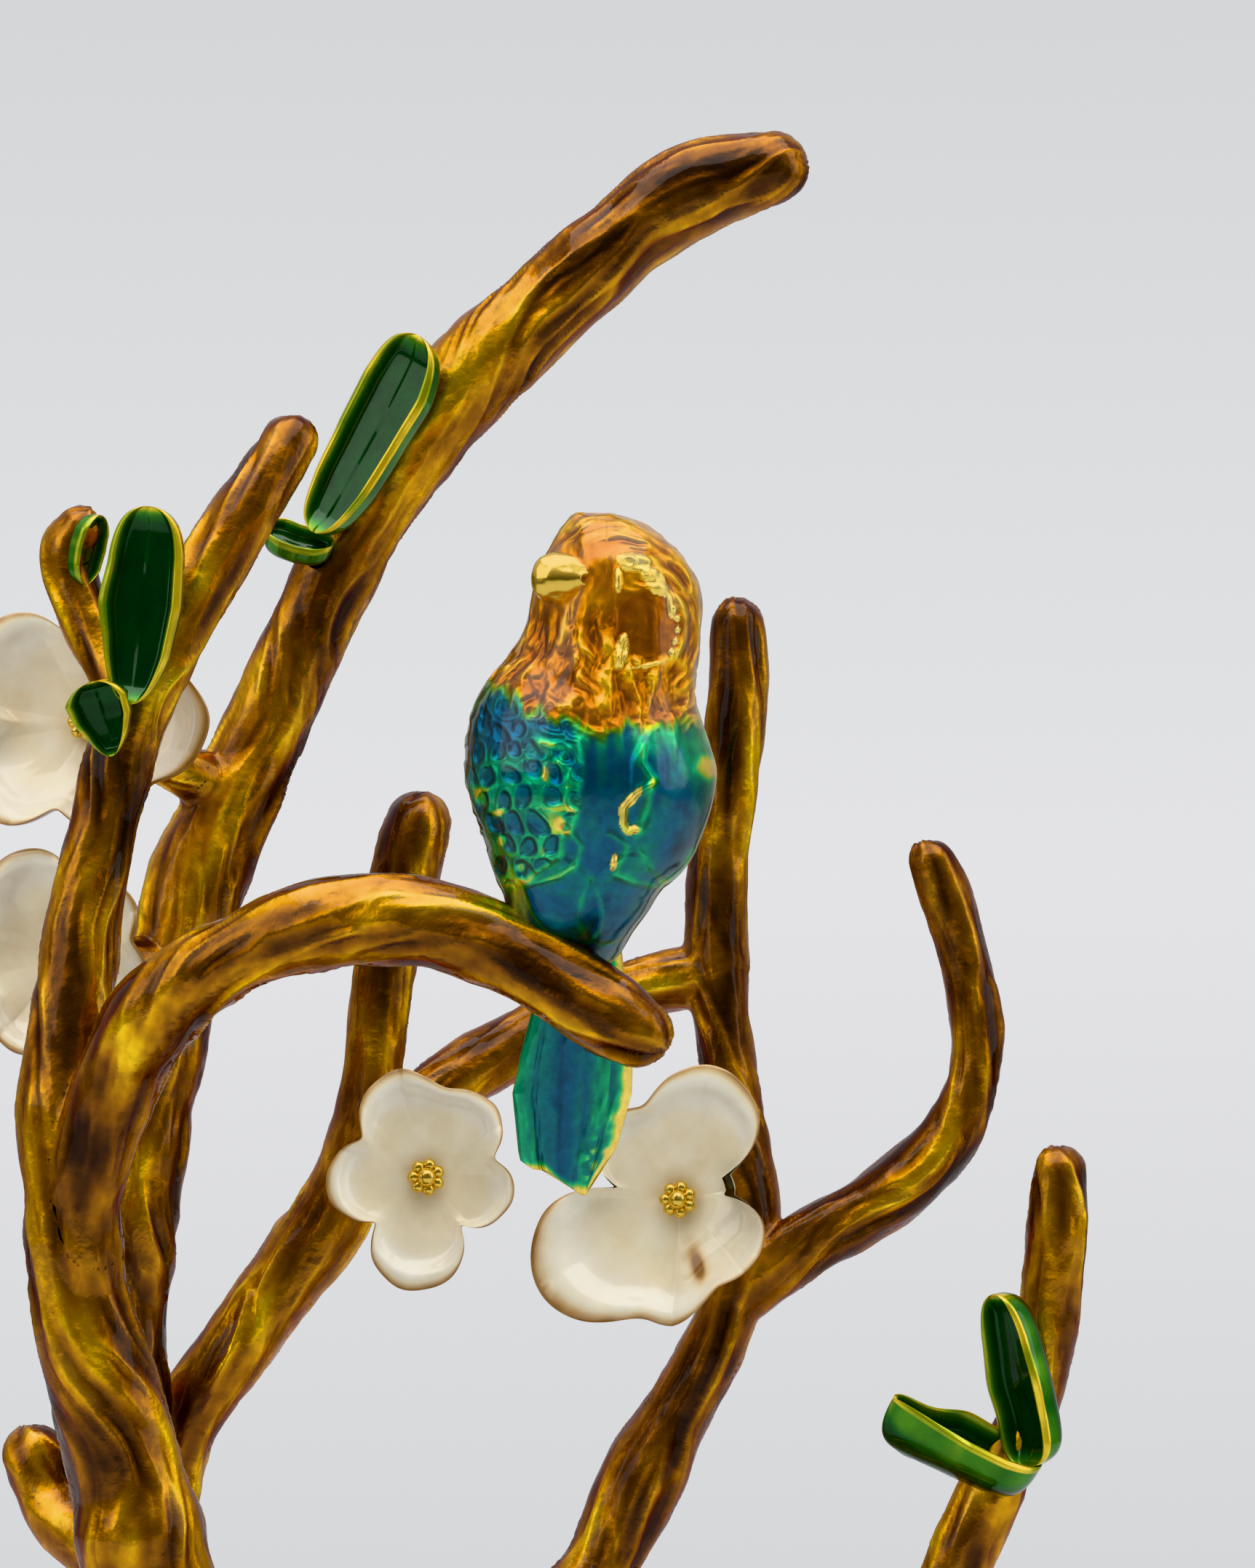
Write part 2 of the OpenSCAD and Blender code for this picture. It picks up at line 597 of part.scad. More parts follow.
// the beak stands on a round neck that comes through the enamel of the face
beak_at = perch_at + bs * [-1.2, -2.2, 25.4];
module beak_neck(grow = 0) {
  translate(beak_at)
    rotate([90, 0, 0])
      cylinder(r = 1.75 * bs + grow, h = 4 * bs, center = true, $fn = 16);
}
module beak() {
  beak_neck();
  translate(beak_at + bs * [0, -1.5, 0])
    skin([for (q = [[-2.3, 0.4], [-1.9, 1.1], [-1, 1.6], [0.3, 1.75], [1.5, 1.4], [2.3, 0.5]])
      [for (j = [0 : 11]) bs * [q[0], q[1] * cos(30 * j), q[1] * sin(30 * j)]]]);
}
module bird_peg(grow = 0) {
  rod(perch_at + [0.2, 0.9, 0], perch_at + [0.5, 1.6, 4], bird_peg_d + 2 * grow, 6, 1);
}
module bird_casting() {
  color(GILT) resize([0, 0, 0]) union() {
    difference() {
      union() {
        loft(BODY, -enamel_t);
        beak();
      }
      tube(perch_v, seam);
    }
    bird_peg();
  }
}
module bird_head_enamel() {
  color(AMBER) resize([0, 0, 0]) difference() {
    intersection() {
      loft(BODY);
      above(neck_z);
    }
    loft(BODY, -enamel_t);
    beak_neck(seam);
    beak();
  }
}
module bird_body_enamel() {
  color(TEAL) resize([0, 0, 0]) difference() {
    loft(BODY);
    above(neck_z);
    loft(BODY, -enamel_t);
    tube(perch_v, seam);
    bird_peg(seam);
  }
}
module bird_tail() {
  color(TEAL) resize([0, 0, 0]) difference() {
    loft(TAIL, 0, 14);
    loft(BODY);
    tube(perch_v, seam);
  }
}
// Wing outline seen from the side: drop shape with its point low and to the back.
WING = [[-6.2, 17.6], [-6.6, 14.4], [-5.4, 10.6], [-2.6, 7], [0.6, 4.2], [3.4, 2.8], [5, 3.4], [5.6, 6.4],
  [5.2, 10.4], [3.2, 14.6], [0, 17.6], [-3.4, 18.4]];
module wing(side) {
  color(TEAL) resize([0, 0, 0]) difference() {
    intersection() {
      loft(BODY, wing_t);
      translate(perch_at + bs * [2 + side * 3.4, 1.7, 0])
        rotate([90, 0, 90 * side])
          linear_extrude(12 * bs)
            polygon([for (q = WING) bs * [side * q[0], q[1]]]);
    }
    loft(BODY);
    tube(perch_v, seam);
  }
}
module bird_wing_left() {
  wing(-1);
}
module bird_wing_right() {
  wing(1);
}

base_mound();
base_pad();
base_screw();
base_washer();
trunk();
left_limb();
perch_branch();
tall_branch();
flower_branch();
cross_twig();
right_stem();
right_limb();
hook_branch();
low_right_branch();
stub_branch();
curled_twig();
spur_upper();
spur_lower();
leaf_left_large();
leaf_left_small();
leaf_tall_large();
leaf_tall_small();
leaf_low_upper();
leaf_low_lower();
twig_bud();
blossom_middle();
blossom_large();
blossom_upper();
blossom_lower();
pin_middle();
pin_large();
pin_upper();
pin_lower();
bird_casting();
bird_head_enamel();
bird_body_enamel();
bird_wing_left();
bird_wing_right();
bird_tail();
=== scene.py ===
# %% [markdown]
# # Enamelled bird on a flowering tree
# The looks of a table-top ornament: a cast metal tree under translucent brown enamel, green leaf cups,
# cream five-petal blossoms with gilt beads, and a small bird in amber and teal enamel over gilt metal.
# The frame gives the sizes; lengths below are millimetres until `piece()` turns them into metres.

import math

import bmesh
import bpy
import numpy as np
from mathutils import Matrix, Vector


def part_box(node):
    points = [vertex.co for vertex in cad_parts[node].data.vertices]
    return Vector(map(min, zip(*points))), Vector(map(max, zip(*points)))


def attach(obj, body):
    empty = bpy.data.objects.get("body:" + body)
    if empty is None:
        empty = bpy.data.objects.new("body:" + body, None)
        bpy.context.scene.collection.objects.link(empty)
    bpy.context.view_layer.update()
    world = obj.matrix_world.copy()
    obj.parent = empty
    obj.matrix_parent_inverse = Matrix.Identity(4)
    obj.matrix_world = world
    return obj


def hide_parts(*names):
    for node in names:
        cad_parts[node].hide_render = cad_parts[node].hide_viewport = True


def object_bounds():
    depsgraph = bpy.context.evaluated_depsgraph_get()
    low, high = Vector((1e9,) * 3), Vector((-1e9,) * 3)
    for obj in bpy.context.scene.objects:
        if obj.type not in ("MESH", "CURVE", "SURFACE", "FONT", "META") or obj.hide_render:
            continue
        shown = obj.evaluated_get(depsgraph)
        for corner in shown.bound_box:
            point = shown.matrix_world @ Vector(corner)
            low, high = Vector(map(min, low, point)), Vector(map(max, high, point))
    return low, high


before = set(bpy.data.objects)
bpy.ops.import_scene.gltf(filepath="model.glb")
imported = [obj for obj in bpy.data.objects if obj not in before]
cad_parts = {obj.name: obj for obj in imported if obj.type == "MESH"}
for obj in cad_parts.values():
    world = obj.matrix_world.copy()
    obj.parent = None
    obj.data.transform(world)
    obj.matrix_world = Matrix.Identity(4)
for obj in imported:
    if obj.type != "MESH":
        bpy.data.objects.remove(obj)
cad_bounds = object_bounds()
MM = 0.001

# %% [markdown]
# ## Colour, noise and shape helpers


# %%
def tint(code):
    """sRGB hex to linear light."""
    c = np.array([int(code[i : i + 2], 16) / 255 for i in (1, 3, 5)])
    return np.where(c <= 0.04045, c / 12.92, ((c + 0.055) / 1.055) ** 2.4)


def palette(t, stops):
    """Colour along a list of (position, hex) stops, for an array of positions."""
    at = [s[0] for s in stops]
    cols = np.array([tint(s[1]) for s in stops])
    return np.stack([np.interp(t, at, cols[:, k]) for k in range(3)], -1)


def lattice(i, seed):
    """A fixed pseudo-random value, -1 to 1, for each whole-number point."""
    h = (i[..., 0] * 374761393 + i[..., 1] * 668265263 + i[..., 2] * 1442695041
        + seed * 974634777) & 0xFFFFFFFF
    h = ((h ^ (h >> 13)) * 1274126177) & 0xFFFFFFFF
    return ((h ^ (h >> 16)) & 0xFFFF) / 32767.5 - 1


def noise(p, seed=0):
    """Smooth value noise, -1 to 1, at points of any array shape (..., 3)."""
    i = np.floor(p).astype(np.int64)
    f = p - i
    f = f * f * (3 - 2 * f)
    total = 0
    for dx in (0, 1):
        for dy in (0, 1):
            for dz in (0, 1):
                w = abs(1 - dx - f[..., 0]) * abs(1 - dy - f[..., 1]) * abs(1 - dz - f[..., 2])
                total = total + w * lattice(i + np.array([dx, dy, dz]), seed)
    return total


def clouds(p, octaves=3, seed=0):
    """Sum of noise octaves, about -1 to 1."""
    return sum(noise(p * 2**k + 17 * k, seed + k) * 0.55**k for k in range(octaves)) / 1.3


def unit(p):
    """The same direction with length 1."""
    return np.array(p, float) / np.linalg.norm(p)


def smooth(a, b, x):
    """0 at a, 1 at b, with a soft start and end."""
    t = np.clip((x - a) / (b - a), 0, 1)
    return t * t * (3 - 2 * t)


def bell(d, width):
    """1 where d is 0, falling to 0 on both sides."""
    return np.exp(-((d / width) ** 2))


def mix(a, b, w):
    """Blend of two colour arrays."""
    return a + (b - a) * np.asarray(w)[..., None]


def vec(x, y, z):
    """Points from three coordinates of any matching shapes."""
    return np.stack(np.broadcast_arrays(x, y, z), -1).astype(float)


def surface_normals(v, f):
    """Area-weighted vertex normals; f holds quads or triangles."""
    a, b, c, d = (v[f[:, k]] for k in (0, 1, 2, -1))
    n = np.cross(c - a, d - b) if f.shape[1] == 4 else np.cross(b - a, c - a)
    out = np.zeros_like(v)
    for k in range(f.shape[1]):
        np.add.at(out, f[:, k], n)
    return out / np.maximum(np.linalg.norm(out, axis=1, keepdims=True), 1e-12)


def grid_faces(rows, cols):
    """Quads of a grid of points, wrapped round like a tube."""
    r = np.arange(rows - 1)[:, None]
    c = np.arange(cols)[None, :]
    n = (c + 1) % cols
    return np.stack([r * cols + c, r * cols + n, (r + 1) * cols + n, (r + 1) * cols + c], -1).reshape(-1, 4)


def closed(rows, cols):
    """Faces of a tube of points with both ends closed."""
    ends = [list(range(cols))[::-1], list(range((rows - 1) * cols, rows * cols))]
    return [list(q) for q in grid_faces(rows, cols)] + ends


def piece(name, v, faces, nodes, material, paint=None, normals=None, glass=None):
    """A mesh piece in the row frame from millimetre points, standing for the named CAD nodes.

    glass holds the normals of the smooth clear skin over a relief, where it differs from the mesh."""
    mesh = bpy.data.meshes.new(name)
    polys = [list(map(int, q)) for q in faces] if not isinstance(faces, list) else faces
    mesh.from_pydata((np.asarray(v) * MM).tolist(), [], polys)
    solid = bmesh.new()
    solid.from_mesh(mesh)
    if solid.calc_volume(signed=True) < 0:
        bmesh.ops.reverse_faces(solid, faces=solid.faces)
        solid.to_mesh(mesh)
    solid.free()
    mesh.shade_smooth()
    if paint is not None:
        layer = mesh.color_attributes.new("paint", "FLOAT_COLOR", "POINT")
        layer.data.foreach_set("color", np.c_[paint, np.ones(len(v))].astype(np.float32).ravel())
    if glass is None:
        glass = np.empty(len(v) * 3, np.float32)
        mesh.vertex_normals.foreach_get("vector", glass)
    skin = mesh.attributes.new("glass", "FLOAT_VECTOR", "POINT")
    skin.data.foreach_set("vector", np.asarray(glass, np.float32).ravel())
    if normals is not None:
        mesh.normals_split_custom_set_from_vertices(normals.tolist())
    ob = bpy.data.objects.new(name, mesh)
    bpy.context.scene.collection.objects.link(ob)
    mesh.materials.append(material)
    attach(ob, "root")
    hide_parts(*nodes)
    return ob


# %% [markdown]
# ## Finishes
# Translucent enamel over a gilt casting: a metal base tinted by the enamel, its relief felt only below a
# clear glossy coat. `paint` holds the tint of each point and `glass` the direction its clear skin faces.


# %%
def add(mat, kind, **inputs):
    """One node of a material or world, with its inputs set or linked."""
    node = mat.node_tree.nodes.new(kind)
    for key, value in inputs.items():
        name = key.replace("_", " ")
        if hasattr(value, "node"):
            mat.node_tree.links.new(value, node.inputs[name])
        else:
            node.inputs[name].default_value = value
    return node


def new_material(name):
    """A material and its main shader."""
    mat = bpy.data.materials.new(name)
    mat.use_nodes = True
    return mat, mat.node_tree.nodes["Principled BSDF"]


def link(mat, out, into):
    mat.node_tree.links.new(out, into)


def remap(mat, value, from_min, from_max, to_min, to_max):
    """A value stretched from one range to another, held at its ends."""
    node = add(mat, "ShaderNodeMapRange", Value=value)
    for key, number in zip(("From Min", "From Max", "To Min", "To Max"),
        (from_min, from_max, to_min, to_max)):
        node.inputs[key].default_value = number
    return node.outputs[0]


def relief(mat, scale_mm, strength, depth_mm):
    """Bump of small hammered unevenness of the given size."""
    where = add(mat, "ShaderNodeTexCoord").outputs["Object"]
    cloud = add(mat, "ShaderNodeTexNoise", Vector=where, Scale=1000 / scale_mm, Detail=3.0)
    bump = add(mat, "ShaderNodeBump", Strength=strength, Distance=depth_mm * MM, Height=cloud.outputs[0])
    return bump.outputs["Normal"]


def enamel(name, metal, rough, edge, bump=(0.9, 0.5, 0.1), mottle=(1.2, 0.14), coat_rough=0.03):
    """Coloured glass over metal: metal reflects through the tint, the clear skin above reflects white."""
    mat, shader = new_material(name)
    where = add(mat, "ShaderNodeTexCoord").outputs["Object"]
    paint = add(mat, "ShaderNodeAttribute")
    paint.attribute_name = "paint"
    cloud = add(mat, "ShaderNodeTexNoise", Vector=where, Scale=1000 / mottle[0], Detail=4.0, Roughness=0.6)
    level = remap(mat, cloud.outputs[0], 0.3, 0.7, 1 - mottle[1], 1 + mottle[1])
    shade = add(mat, "ShaderNodeVectorMath", Vector=paint.outputs["Color"])
    shade.operation = "SCALE"
    link(mat, level, shade.inputs["Scale"])
    link(mat, shade.outputs[0], shader.inputs["Base Color"])
    worn = remap(mat, cloud.outputs[0], 0.3, 0.7, rough * 1.3, rough * 0.75)
    link(mat, worn, shader.inputs["Roughness"])
    shader.inputs["Metallic"].default_value = metal
    shader.inputs["Specular Tint"].default_value = (*tint(edge), 1)
    shader.inputs["Coat Weight"].default_value = 1.0
    shader.inputs["Coat Roughness"].default_value = coat_rough
    shader.inputs["Coat IOR"].default_value = 1.5
    link(mat, relief(mat, *bump), shader.inputs["Normal"])
    skin = add(mat, "ShaderNodeAttribute")
    skin.attribute_name = "glass"
    turn = add(mat, "ShaderNodeVectorTransform", Vector=skin.outputs["Vector"])
    turn.vector_type, turn.convert_from, turn.convert_to = "NORMAL", "OBJECT", "WORLD"
    link(mat, turn.outputs[0], shader.inputs["Coat Normal"])
    return mat


def plain(name, colour, metal, rough, bump=None):
    """A finish of one colour."""
    mat, shader = new_material(name)
    shader.inputs["Base Color"].default_value = (*tint(colour), 1)
    shader.inputs["Metallic"].default_value = metal
    shader.inputs["Roughness"].default_value = rough
    if bump:
        link(mat, relief(mat, *bump), shader.inputs["Normal"])
    return mat


BARK = enamel("brown transparent enamel on gilt", 0.95, 0.3, "#B07828", (1.1, 0.75, 0.16), (1.3, 0.26))
BARK.node_tree.nodes["Principled BSDF"].inputs["Coat Weight"].default_value = 0.7
BIRD = enamel("transparent enamel on gilt", 0.85, 0.33, "#C0B070", (0.35, 0.6, 0.03), (0.6, 0.16), 0.13)
LEAF = enamel("green transparent enamel", 0.7, 0.3, "#90A060", (0.8, 0.4, 0.06))
PETAL = enamel("opaque cream enamel", 0.0, 0.35, "#FFFFFF", (1.8, 0.3, 0.06), (2.5, 0.05), 0.06)
GILT = plain("polished gilt", "#E3C062", 1.0, 0.2, (0.6, 0.35, 0.03))
FELT = plain("pressed felt", "#2A2C2A", 0.0, 0.95, (0.4, 0.6, 0.1))
STEEL = plain("plain steel", "#9A9CA0", 1.0, 0.35)

# %% [markdown]
# ## The tree
# The branch routes are those of the CAD model: x, y, z and radius. All branches are run together in a fine
# voxel mesh so that forks flow into each other, given a bark relief along each branch, and parted again.

# %%
ROUTES = {
    "main": [(0, 0, 10, 11.5), (0, 0, 16, 8.6), (-1, 0, 24, 7.4), (-2.5, -1, 33, 6.8), (-5, -2, 43, 6.2),
        (-9, -4, 55, 5.4), (-13, -6, 65, 4.9), (-15.5, -7, 77, 4.3), (-18.5, -8, 89, 3.7),
        (-19.5, -8, 101, 3.5),
        (-19, -7, 113, 2.95), (-17, -6, 124, 2.65), (-14.5, -6, 132, 2.6), (-10.5, -5, 140, 2.5),
        (-6.5, -3.5, 146.5, 2.4), (-4.2, -2, 150.4, 2.1)],
    "perch_branch": [(-17.6, -8, 84, 1.6), (-18.3, -8.8, 91, 2.5), (-17.8, -10.4, 98.5, 3),
        (-15.5, -13, 105.5, 3.1), (-12, -16, 111, 3.1), (-7, -18, 114.2, 3),
        (-1.7, -19, 116.2, 3.1), (3.4, -20, 116.7, 3.2), (8, -21, 116, 3), (12, -22, 114.5, 2.8),
        (15.2, -23, 112.7, 2.8), (18.4, -24, 110.6, 2.8), (20.6, -24.6, 109.2, 2.5)],
    "tall_branch": [(-10, -4, 57, 2.8), (-14, 4, 66, 3.7), (-17, 9, 77, 3.7), (-17, 10, 88, 3.6),
        (-16, 10, 98, 3.7),
        (-14.5, 11, 108, 3.7), (-12, 12, 118, 3.7), (-9, 13, 125, 3.4), (-6.5, 14, 131, 3.3),
        (-0.5, 14, 143.6, 3.2), (6.4, 14, 154, 3.45), (13.7, 14, 161, 3.55), (20.4, 14, 167, 3.45),
        (25.5, 14, 170.3, 3.3), (30.6, 14, 171.6, 2.7)],
    "flower_branch": [(-14.3, 4.6, 66.5, 2.2), (-15, 10.5, 69, 3), (-14.3, 13.5, 74, 2.95),
        (-12.9, 14, 78.6, 2.9),
        (-8.9, 14, 84.5, 2.9), (-5.2, 15, 89.5, 2.9), (-1.5, 16, 94.6, 2.8), (0.6, 17, 100, 2.7),
        (1.2, 17, 106, 2.5), (2, 17, 112.5, 2.55), (3.5, 17, 119.5, 2.6), (4.4, 17, 123, 2.4)],
    "cross_twig": [(0.5, 17, 99, 2), (5.7, 20, 103, 2.4), (11, 22, 106, 2.4), (16.6, 23.5, 108.8, 2.4),
        (21.5, 23.5, 110.8, 2.3), (26.8, 22.5, 111.6, 2.2)],
    "right": [(-3, -0.8, 36, 3.6), (3, 3.5, 43, 4.5), (8, 8, 52, 3.9), (13, 13, 60, 3.5),
        (17.8, 17, 67.5, 3.1),
        (20.7, 18, 73.3, 3), (23.2, 18, 78.2, 2.8), (26, 18, 83.2, 2.6), (28, 18.3, 88, 2.6),
        (29, 19, 92.5, 2.5),
        (28.6, 20, 97.8, 2.45), (27.8, 21, 103, 2.4), (26.8, 22.3, 111, 2.25), (26.8, 23, 119, 2.3),
        (27.8, 23, 127, 2.4), (28.3, 23, 133, 2.4), (28.2, 23, 138, 2.2)],
    "hook_branch": [(28, 18.3, 87.8, 2), (33.2, 18, 91.5, 2.5), (37.8, 18, 94.2, 2.45), (41.8, 18, 97.2, 2.4),
        (44.8, 18, 101, 2.25), (46.2, 18, 105.8, 1.95), (45.7, 18, 111, 1.95), (44.3, 18, 115.9, 2.05),
        (42.8, 18, 120, 2)],
    "low_right_branch": [(7, 7.3, 50, 2.6), (15, 10, 51.5, 3.2), (24, 11.5, 53.5, 3.1), (32, 11.5, 56.5, 3),
        (38.5, 11, 60.5, 2.9), (42.6, 10.5, 65, 2.75), (45.2, 10, 71, 2.5), (48.1, 10, 76.5, 2.15),
        (50.2, 10, 82, 2.05), (51, 10, 87.5, 2.1), (51.6, 10, 93.5, 2.3), (51.7, 10, 97.4, 2)],
    "stub_branch": [(-15, 10.4, 69, 2.2), (-19, 13.5, 69.8, 2.8), (-22.3, 16, 72.2, 2.7),
        (-24, 17, 75.8, 2.5)],
    "curled_twig": [(-14.8, -6, 131, 1.5), (-17.8, -3.8, 136, 1.8), (-19.6, -2.6, 140.3, 2.05),
        (-19.8, -2.6, 142.6, 2.05), (-19.1, -3, 144.2, 1.6)],
    "spur_upper": [(-9.6, 13, 125.3, 1.6), (-14.5, 9.5, 128, 1.8), (-17.3, 7, 129.6, 1.6)],
    "spur_lower": [(-13.5, 11.4, 112, 1.6), (-17, 7.5, 113, 1.8), (-19.2, 5, 113.3, 1.6)],
}
# how far a branch's bark reaches into a fork, in radii; how deep the bark is, and the height that stays put
REACH = 2.2
BARK_DEPTH = 0.62
BARK_LEVEL = 0.55
# where a limb changes its name on the way up: the height of the joint of its two castings
STEPS = {"main": (49, "trunk", "left_limb"), "right": (67.5, "right_stem", "right_limb")}
VOXEL = 0.26


def route(points, step=0.5):
    """Evenly spaced smooth curve through the points, radius as the fourth column."""
    p = np.array(points, float)
    q = np.vstack([p[0], p, p[-1]])
    t = np.linspace(0, 1, 12, endpoint=False)[:, None]
    legs = [0.5 * (2 * b + (c - a) * t + (2 * a - 5 * b + 4 * c - d) * t**2 + (3 * b - a - 3 * c + d) * t**3)
        for a, b, c, d in zip(q[:-3], q[1:-2], q[2:-1], q[3:])]
    fine = np.vstack([*legs, p[-1:]])
    s = np.r_[0, np.cumsum(np.linalg.norm(np.diff(fine[:, :3], axis=0), axis=1))]
    even = np.linspace(0, s[-1], max(4, int(s[-1] / step)))
    return np.stack([np.interp(even, s, fine[:, k]) for k in range(4)], -1), even


def frames(c):
    """Tangent and two steady cross directions along a curve."""
    t = np.gradient(c[:, :3], axis=0)
    t /= np.linalg.norm(t, axis=1, keepdims=True)
    u = np.cross(t, [0, 1, 0])
    u /= np.linalg.norm(u, axis=1, keepdims=True)
    return t, u, np.cross(t, u)


def tube(c, around=28):
    """Closed tube along a curve, with a rounded tip."""
    t, u, w = frames(c)
    a = np.linspace(0, 2 * np.pi, around, endpoint=False)

    def hoop(k, r):
        return c[k, :3] + r * (np.cos(a)[:, None] * u[k] + np.sin(a)[:, None] * w[k])

    rows = [hoop(k, c[k, 3]) for k in range(len(c))]
    for b in np.radians([20, 40, 60, 80]):
        rows.append(hoop(-1, c[-1, 3] * math.cos(b)) + t[-1] * c[-1, 3] * math.sin(b))
    v = np.vstack([c[:1, :3], *rows, [c[-1, :3] + t[-1] * c[-1, 3]]])
    f = [list(q + 1) for q in grid_faces(len(rows), around)]
    last = 1 + around * (len(rows) - 1)
    f += [[0, 1 + (k + 1) % around, 1 + k] for k in range(around)]
    f += [[len(v) - 1, last + k, last + (k + 1) % around] for k in range(around)]
    return v, f


def voxel_mesh(parts, size, rounds, name):
    """Runs closed parts together in one even mesh and softens their forks."""
    verts, polys, base = [], [], 0
    for v, f in parts:
        verts.append(v)
        polys += [[i + base for i in q] for q in f]
        base += len(v)
    mesh = bpy.data.meshes.new(name)
    mesh.from_pydata(np.vstack(verts).tolist(), [], polys)
    ob = bpy.data.objects.new(name, mesh)
    bpy.context.scene.collection.objects.link(ob)
    mod = ob.modifiers.new("even", "REMESH")
    mod.mode = "VOXEL"
    mod.voxel_size = size
    done = ob.evaluated_get(bpy.context.evaluated_depsgraph_get()).to_mesh()
    v = np.empty(len(done.vertices) * 3)
    done.vertices.foreach_get("co", v)
    f = np.empty(len(done.polygons) * 4, int)
    done.polygons.foreach_get("vertices", f)
    bpy.data.objects.remove(ob)
    bpy.data.meshes.remove(mesh)
    v, f = v.reshape(-1, 3), f.reshape(-1, 4)
    edges = np.unique(np.sort(np.vstack([f[:, [0, 1]], f[:, [1, 2]], f[:, [2, 3]], f[:, [3, 0]]]), axis=1),
        axis=0)
    count = np.bincount(edges.ravel(), minlength=len(v))[:, None]
    for k in range(rounds):
        total = np.stack([np.bincount(edges[:, 0], v[edges[:, 1], j], len(v))
            + np.bincount(edges[:, 1], v[edges[:, 0], j], len(v)) for j in range(3)], -1)
        v = v + (0.55 if k % 2 == 0 else -0.5) * (total / count - v)
    return v, f


CURVES = {name: route(points) for name, points in ROUTES.items()}
parts = []
for name, (c, s) in CURVES.items():
    c = c.copy()
    wobble = 0.09 * noise(vec(s / 7, len(name), 0), 3) + 0.05 * noise(vec(s / 3, len(name), 5), 4)
    c[:, 3] *= 0.97 + wobble
    if name != "main":
        c[:, 3] *= 1 + 0.3 * np.exp(-((s / (2.3 * c[:, 3])) ** 2))
    parts.append(tube(c))
v, f = voxel_mesh(parts, VOXEL, 16, "tree")
print("tree mesh", len(v), "points")

# %% [markdown]
# Bark relief: long ridges that run and turn with each branch. At a fork the ridges of both branches fade
# into each other. Enamel lies thin on the ridges, where the gilt shines through, and deep in the grooves.


# %%
def nearest(c, s, p):
    """For points p: distance from the curve as a share of its radius, place along it, and angle around it."""
    t, u, w = frames(c)
    k = np.empty(len(p), int)
    for a in range(0, len(p), 20000):
        d = ((p[a : a + 20000, None, :].astype(np.float32) - c[None, :, :3].astype(np.float32)) ** 2).sum(-1)
        k[a : a + 20000] = d.argmin(1)
    off = p - c[k, :3]
    ahead = (off * t[k]).sum(1)
    side = off - ahead[:, None] * t[k]
    share = np.linalg.norm(off, axis=1) / c[k, 3]
    return share, s[k] + ahead, np.arctan2((side * w[k]).sum(1), (side * u[k]).sum(1)), c[k, 3]


def bark(s, a, r, seed):
    """Ridge height, 0 in a groove to 1 on a crest, by place along the branch, angle and radius."""
    turn = a + 0.05 * s + 0.5 * noise(vec(s / 9, seed, 0), seed)
    x, y = np.cos(turn) * r * 0.5, np.sin(turn) * r * 0.5
    bend = 0.5 * vec(noise(vec(x, y, s / 6), seed + 5), noise(vec(x, y, s / 6), seed + 6), 0 * s)
    long_ridges = 1 - np.abs(noise(vec(x * 1.2, y * 1.2, s / 15) + bend, seed + 1)) * 2.6
    fine_ridges = 1 - np.abs(noise(vec(x * 2.8, y * 2.8, s / 6) + bend * 2, seed + 2)) * 2.6
    dents = clouds(vec(x * 2.2, y * 2.2, s / 2.6), 2, seed + 3)
    return np.clip(0.46 + 0.32 * long_ridges + 0.13 * fine_ridges + 0.2 * dents, 0, 1)


label_share = np.full(len(v), 1e9)
label = np.zeros(len(v), int)
height, weight, patch = np.zeros(len(v)), np.full(len(v), 1e-9), np.zeros(len(v))
for i, (name, (c, s)) in enumerate(CURVES.items()):
    low, high = c[:, :3].min(0) - 14, c[:, :3].max(0) + 14
    near = np.flatnonzero(((v > low) & (v < high)).all(1))
    share, at, angle, radius = nearest(c, s, v[near])
    keep = share < REACH
    near, share, at, angle, radius = near[keep], share[keep], at[keep], angle[keep], radius[keep]
    w = np.clip(REACH - share, 0, 1.2) ** 4
    height[near] += w * bark(at, angle, radius, 11 * i + 1)
    patch[near] += w * (0.5
        + 0.5 * clouds(vec(np.cos(angle) * 1.1, np.sin(angle) * 1.1, at / 9 + 3 * i), 2, 50 + i))
    weight[near] += w
    closer = share < label_share[near]
    label[near[closer]] = i
    label_share[near[closer]] = share[closer]
height /= weight
patch /= weight
glass = surface_normals(v, f)
v = v + glass * ((height - BARK_LEVEL) * BARK_DEPTH)[:, None]
v = np.clip(v, np.array(cad_bounds[0]) / MM, np.array(cad_bounds[1]) / MM)
out = surface_normals(v, f)
glass = glass * 0.7 + out * 0.3
grain = clouds(v / 1.1, 2, 90)
depth = np.clip(0.96 - height * 0.8 + (patch - 0.5) * 0.85 + 0.08 * grain, 0, 1)
BROWN = [(0, "#F8C81C"), (0.2, "#D09608"), (0.4, "#A46A03"), (0.6, "#784602"), (0.8, "#4E2A02"),
    (1, "#301602")]
paint = palette(depth, BROWN)

names = list(CURVES)
node_of = np.array([names[i] for i in label], dtype=object)
for name, (z, below, above) in STEPS.items():
    mine = label == names.index(name)
    node_of[mine & (v[:, 2] < z)] = below
    node_of[mine & (v[:, 2] >= z)] = above


def close_cuts(verts, faces):
    """Faces plus a cap over each cut, so that every casting is a closed mesh."""
    bm = bmesh.new()
    made = [bm.verts.new(p) for p in verts]
    for q in faces:
        bm.faces.new([made[i] for i in q])
    bmesh.ops.holes_fill(bm, edges=[e for e in bm.edges if e.is_boundary], sides=0)
    bm.verts.index_update()
    polys = [[x.index for x in q.verts] for q in bm.faces]
    bm.free()
    return polys


